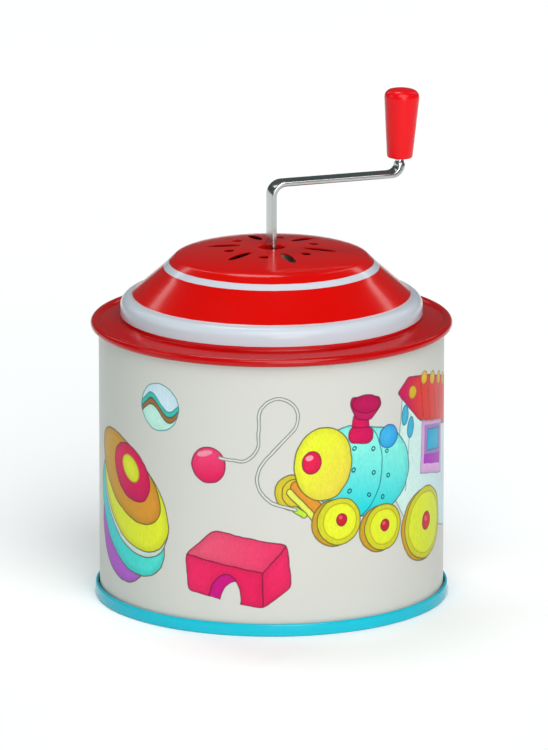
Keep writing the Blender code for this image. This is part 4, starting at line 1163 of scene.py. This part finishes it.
class MUSICBOX_OT_stage(bpy.types.Operator):
    """The floor, the lights and the camera"""

    bl_idname = "musicbox.stage"
    bl_label = "Stage"

    lamp_reach = 1.5              # from the tin's middle to each lamp
    tin_middle = Vector((0, 0, 0.08))
    camera_foot = Vector((0, 0, 0.06))

    def execute(self, context):
        self.floor()
        self.lights(context.scene)
        self.camera(context.scene)
        return {"FINISHED"}

    @staticmethod
    def floor():
        """A pale seamless floor."""
        bm = bmesh.new()
        bmesh.ops.create_grid(bm, x_segments=8, y_segments=8, size=4.0)
        finish = Finish("pale floor", (0.97, 0.97, 0.97), 0.7, shine=0.2)
        finish.set("Base Color", finish.mix(finish.noise(3, 2), (0.965, 0.965, 0.965),
                                            (0.985, 0.985, 0.985)))
        add_piece("floor", bm, [finish.material])

    def lights(self, scene):
        """Wide soft lights round the camera, and two strips behind, in a dim room."""
        strength = scene.tin_stage.light
        turn = scene.tin_stage.azimuth
        world = bpy.data.worlds.new("pale room")
        world.use_nodes = True
        world.node_tree.nodes["Background"].inputs[0].default_value = (0.80, 0.98, 1.0, 1.0)
        world.node_tree.nodes["Background"].inputs[1].default_value = 0.11 * strength
        scene.world = world
        suns = (("key", 14, 48, 52, 2.5, (1, 1, 1)), ("back", -160, 68, 24, 0.75, (1, 1, 1)),
                ("low", 14, 8, 30, 1.2, (1, 0.98, 0.97)), ("side", -80, 24, 30, 0.35, (0.7, 1, 1)))
        for name, azimuth, elevation, width, power, tint in suns:
            lamp = self.lamp(name, "SUN", turn + radians(azimuth), radians(elevation))
            lamp.data.angle = radians(width)
            lamp.data.energy = power * strength
            lamp.data.color = tint
        for name, azimuth in (("left strip", -138), ("right strip", 138)):
            lamp = self.lamp(name, "AREA", turn + radians(azimuth), radians(40))
            lamp.data.shape = "RECTANGLE"
            lamp.data.size = 0.11
            lamp.data.size_y = 0.9
            lamp.data.energy = 1.1 * strength

    def lamp(self, name, kind, around, above):
        """A lamp pointed at the tin."""
        made = bpy.data.objects.new(name, bpy.data.lights.new(name, kind))
        bpy.context.collection.objects.link(made)
        out = outward(around, above)
        made.location = self.tin_middle + out * self.lamp_reach
        made.rotation_euler = out.to_track_quat("Z", "Y").to_euler()
        return made

    def camera(self, scene):
        """A long lens a little above the tin."""
        stage = scene.tin_stage
        data = bpy.data.cameras.new("camera")
        data.lens = stage.lens
        data.clip_end = 20.0
        camera = bpy.data.objects.new("camera", data)
        bpy.context.collection.objects.link(camera)
        right = Vector((cos(stage.azimuth), sin(stage.azimuth), 0)) * stage.aside
        out = outward(stage.azimuth, stage.elevation)
        camera.location = self.camera_foot + out * stage.distance + right
        aim = Vector((0, 0, stage.aim)) + right
        camera.rotation_euler = (camera.location - aim).to_track_quat("Z", "Y").to_euler()
        scene.camera = camera
        scene.view_settings.view_transform = "Standard"


class MUSICBOX_PT_panel(bpy.types.Panel):
    """Builds the music box's pieces from the sidebar"""

    bl_idname = "MUSICBOX_PT_panel"
    bl_label = "Tin Music Box"
    bl_space_type = "VIEW_3D"
    bl_region_type = "UI"
    bl_category = "Music Box"

    def draw(self, context):
        for group in (context.scene.tin_sizes, context.scene.tin_colours, context.scene.tin_stage):
            column = self.layout.column(align=True)
            for name in group.bl_rna.properties.keys():
                if name not in ("rna_type", "name"):
                    column.prop(group, name)
        column = self.layout.column(align=True)
        for operator in OPERATORS:
            column.operator(operator.bl_idname)


OPERATORS = (MUSICBOX_OT_stage, MUSICBOX_OT_drum, MUSICBOX_OT_lid, MUSICBOX_OT_base,
             MUSICBOX_OT_crank, MUSICBOX_OT_grip, MUSICBOX_OT_movement)
GROUPS = {"tin_sizes": TinSizes, "tin_colours": TinColours, "tin_stage": TinStage}


def register():
    """Register the classes and the scene's settings."""
    for name, group in GROUPS.items():
        bpy.utils.register_class(group)
        setattr(bpy.types.Scene, name, PointerProperty(type=group))
    for made in (*OPERATORS, MUSICBOX_PT_panel):
        bpy.utils.register_class(made)


def unregister():
    """Undo register."""
    for made in reversed((*OPERATORS, MUSICBOX_PT_panel)):
        bpy.utils.unregister_class(made)
    for name, group in GROUPS.items():
        delattr(bpy.types.Scene, name)
        bpy.utils.unregister_class(group)


def main():
    """Build every piece."""
    register()
    bpy.ops.musicbox.stage()
    bpy.ops.musicbox.drum()
    bpy.ops.musicbox.lid()
    bpy.ops.musicbox.base()
    bpy.ops.musicbox.crank()
    bpy.ops.musicbox.grip()
    bpy.ops.musicbox.movement()


if __name__ == "__main__":
    main()
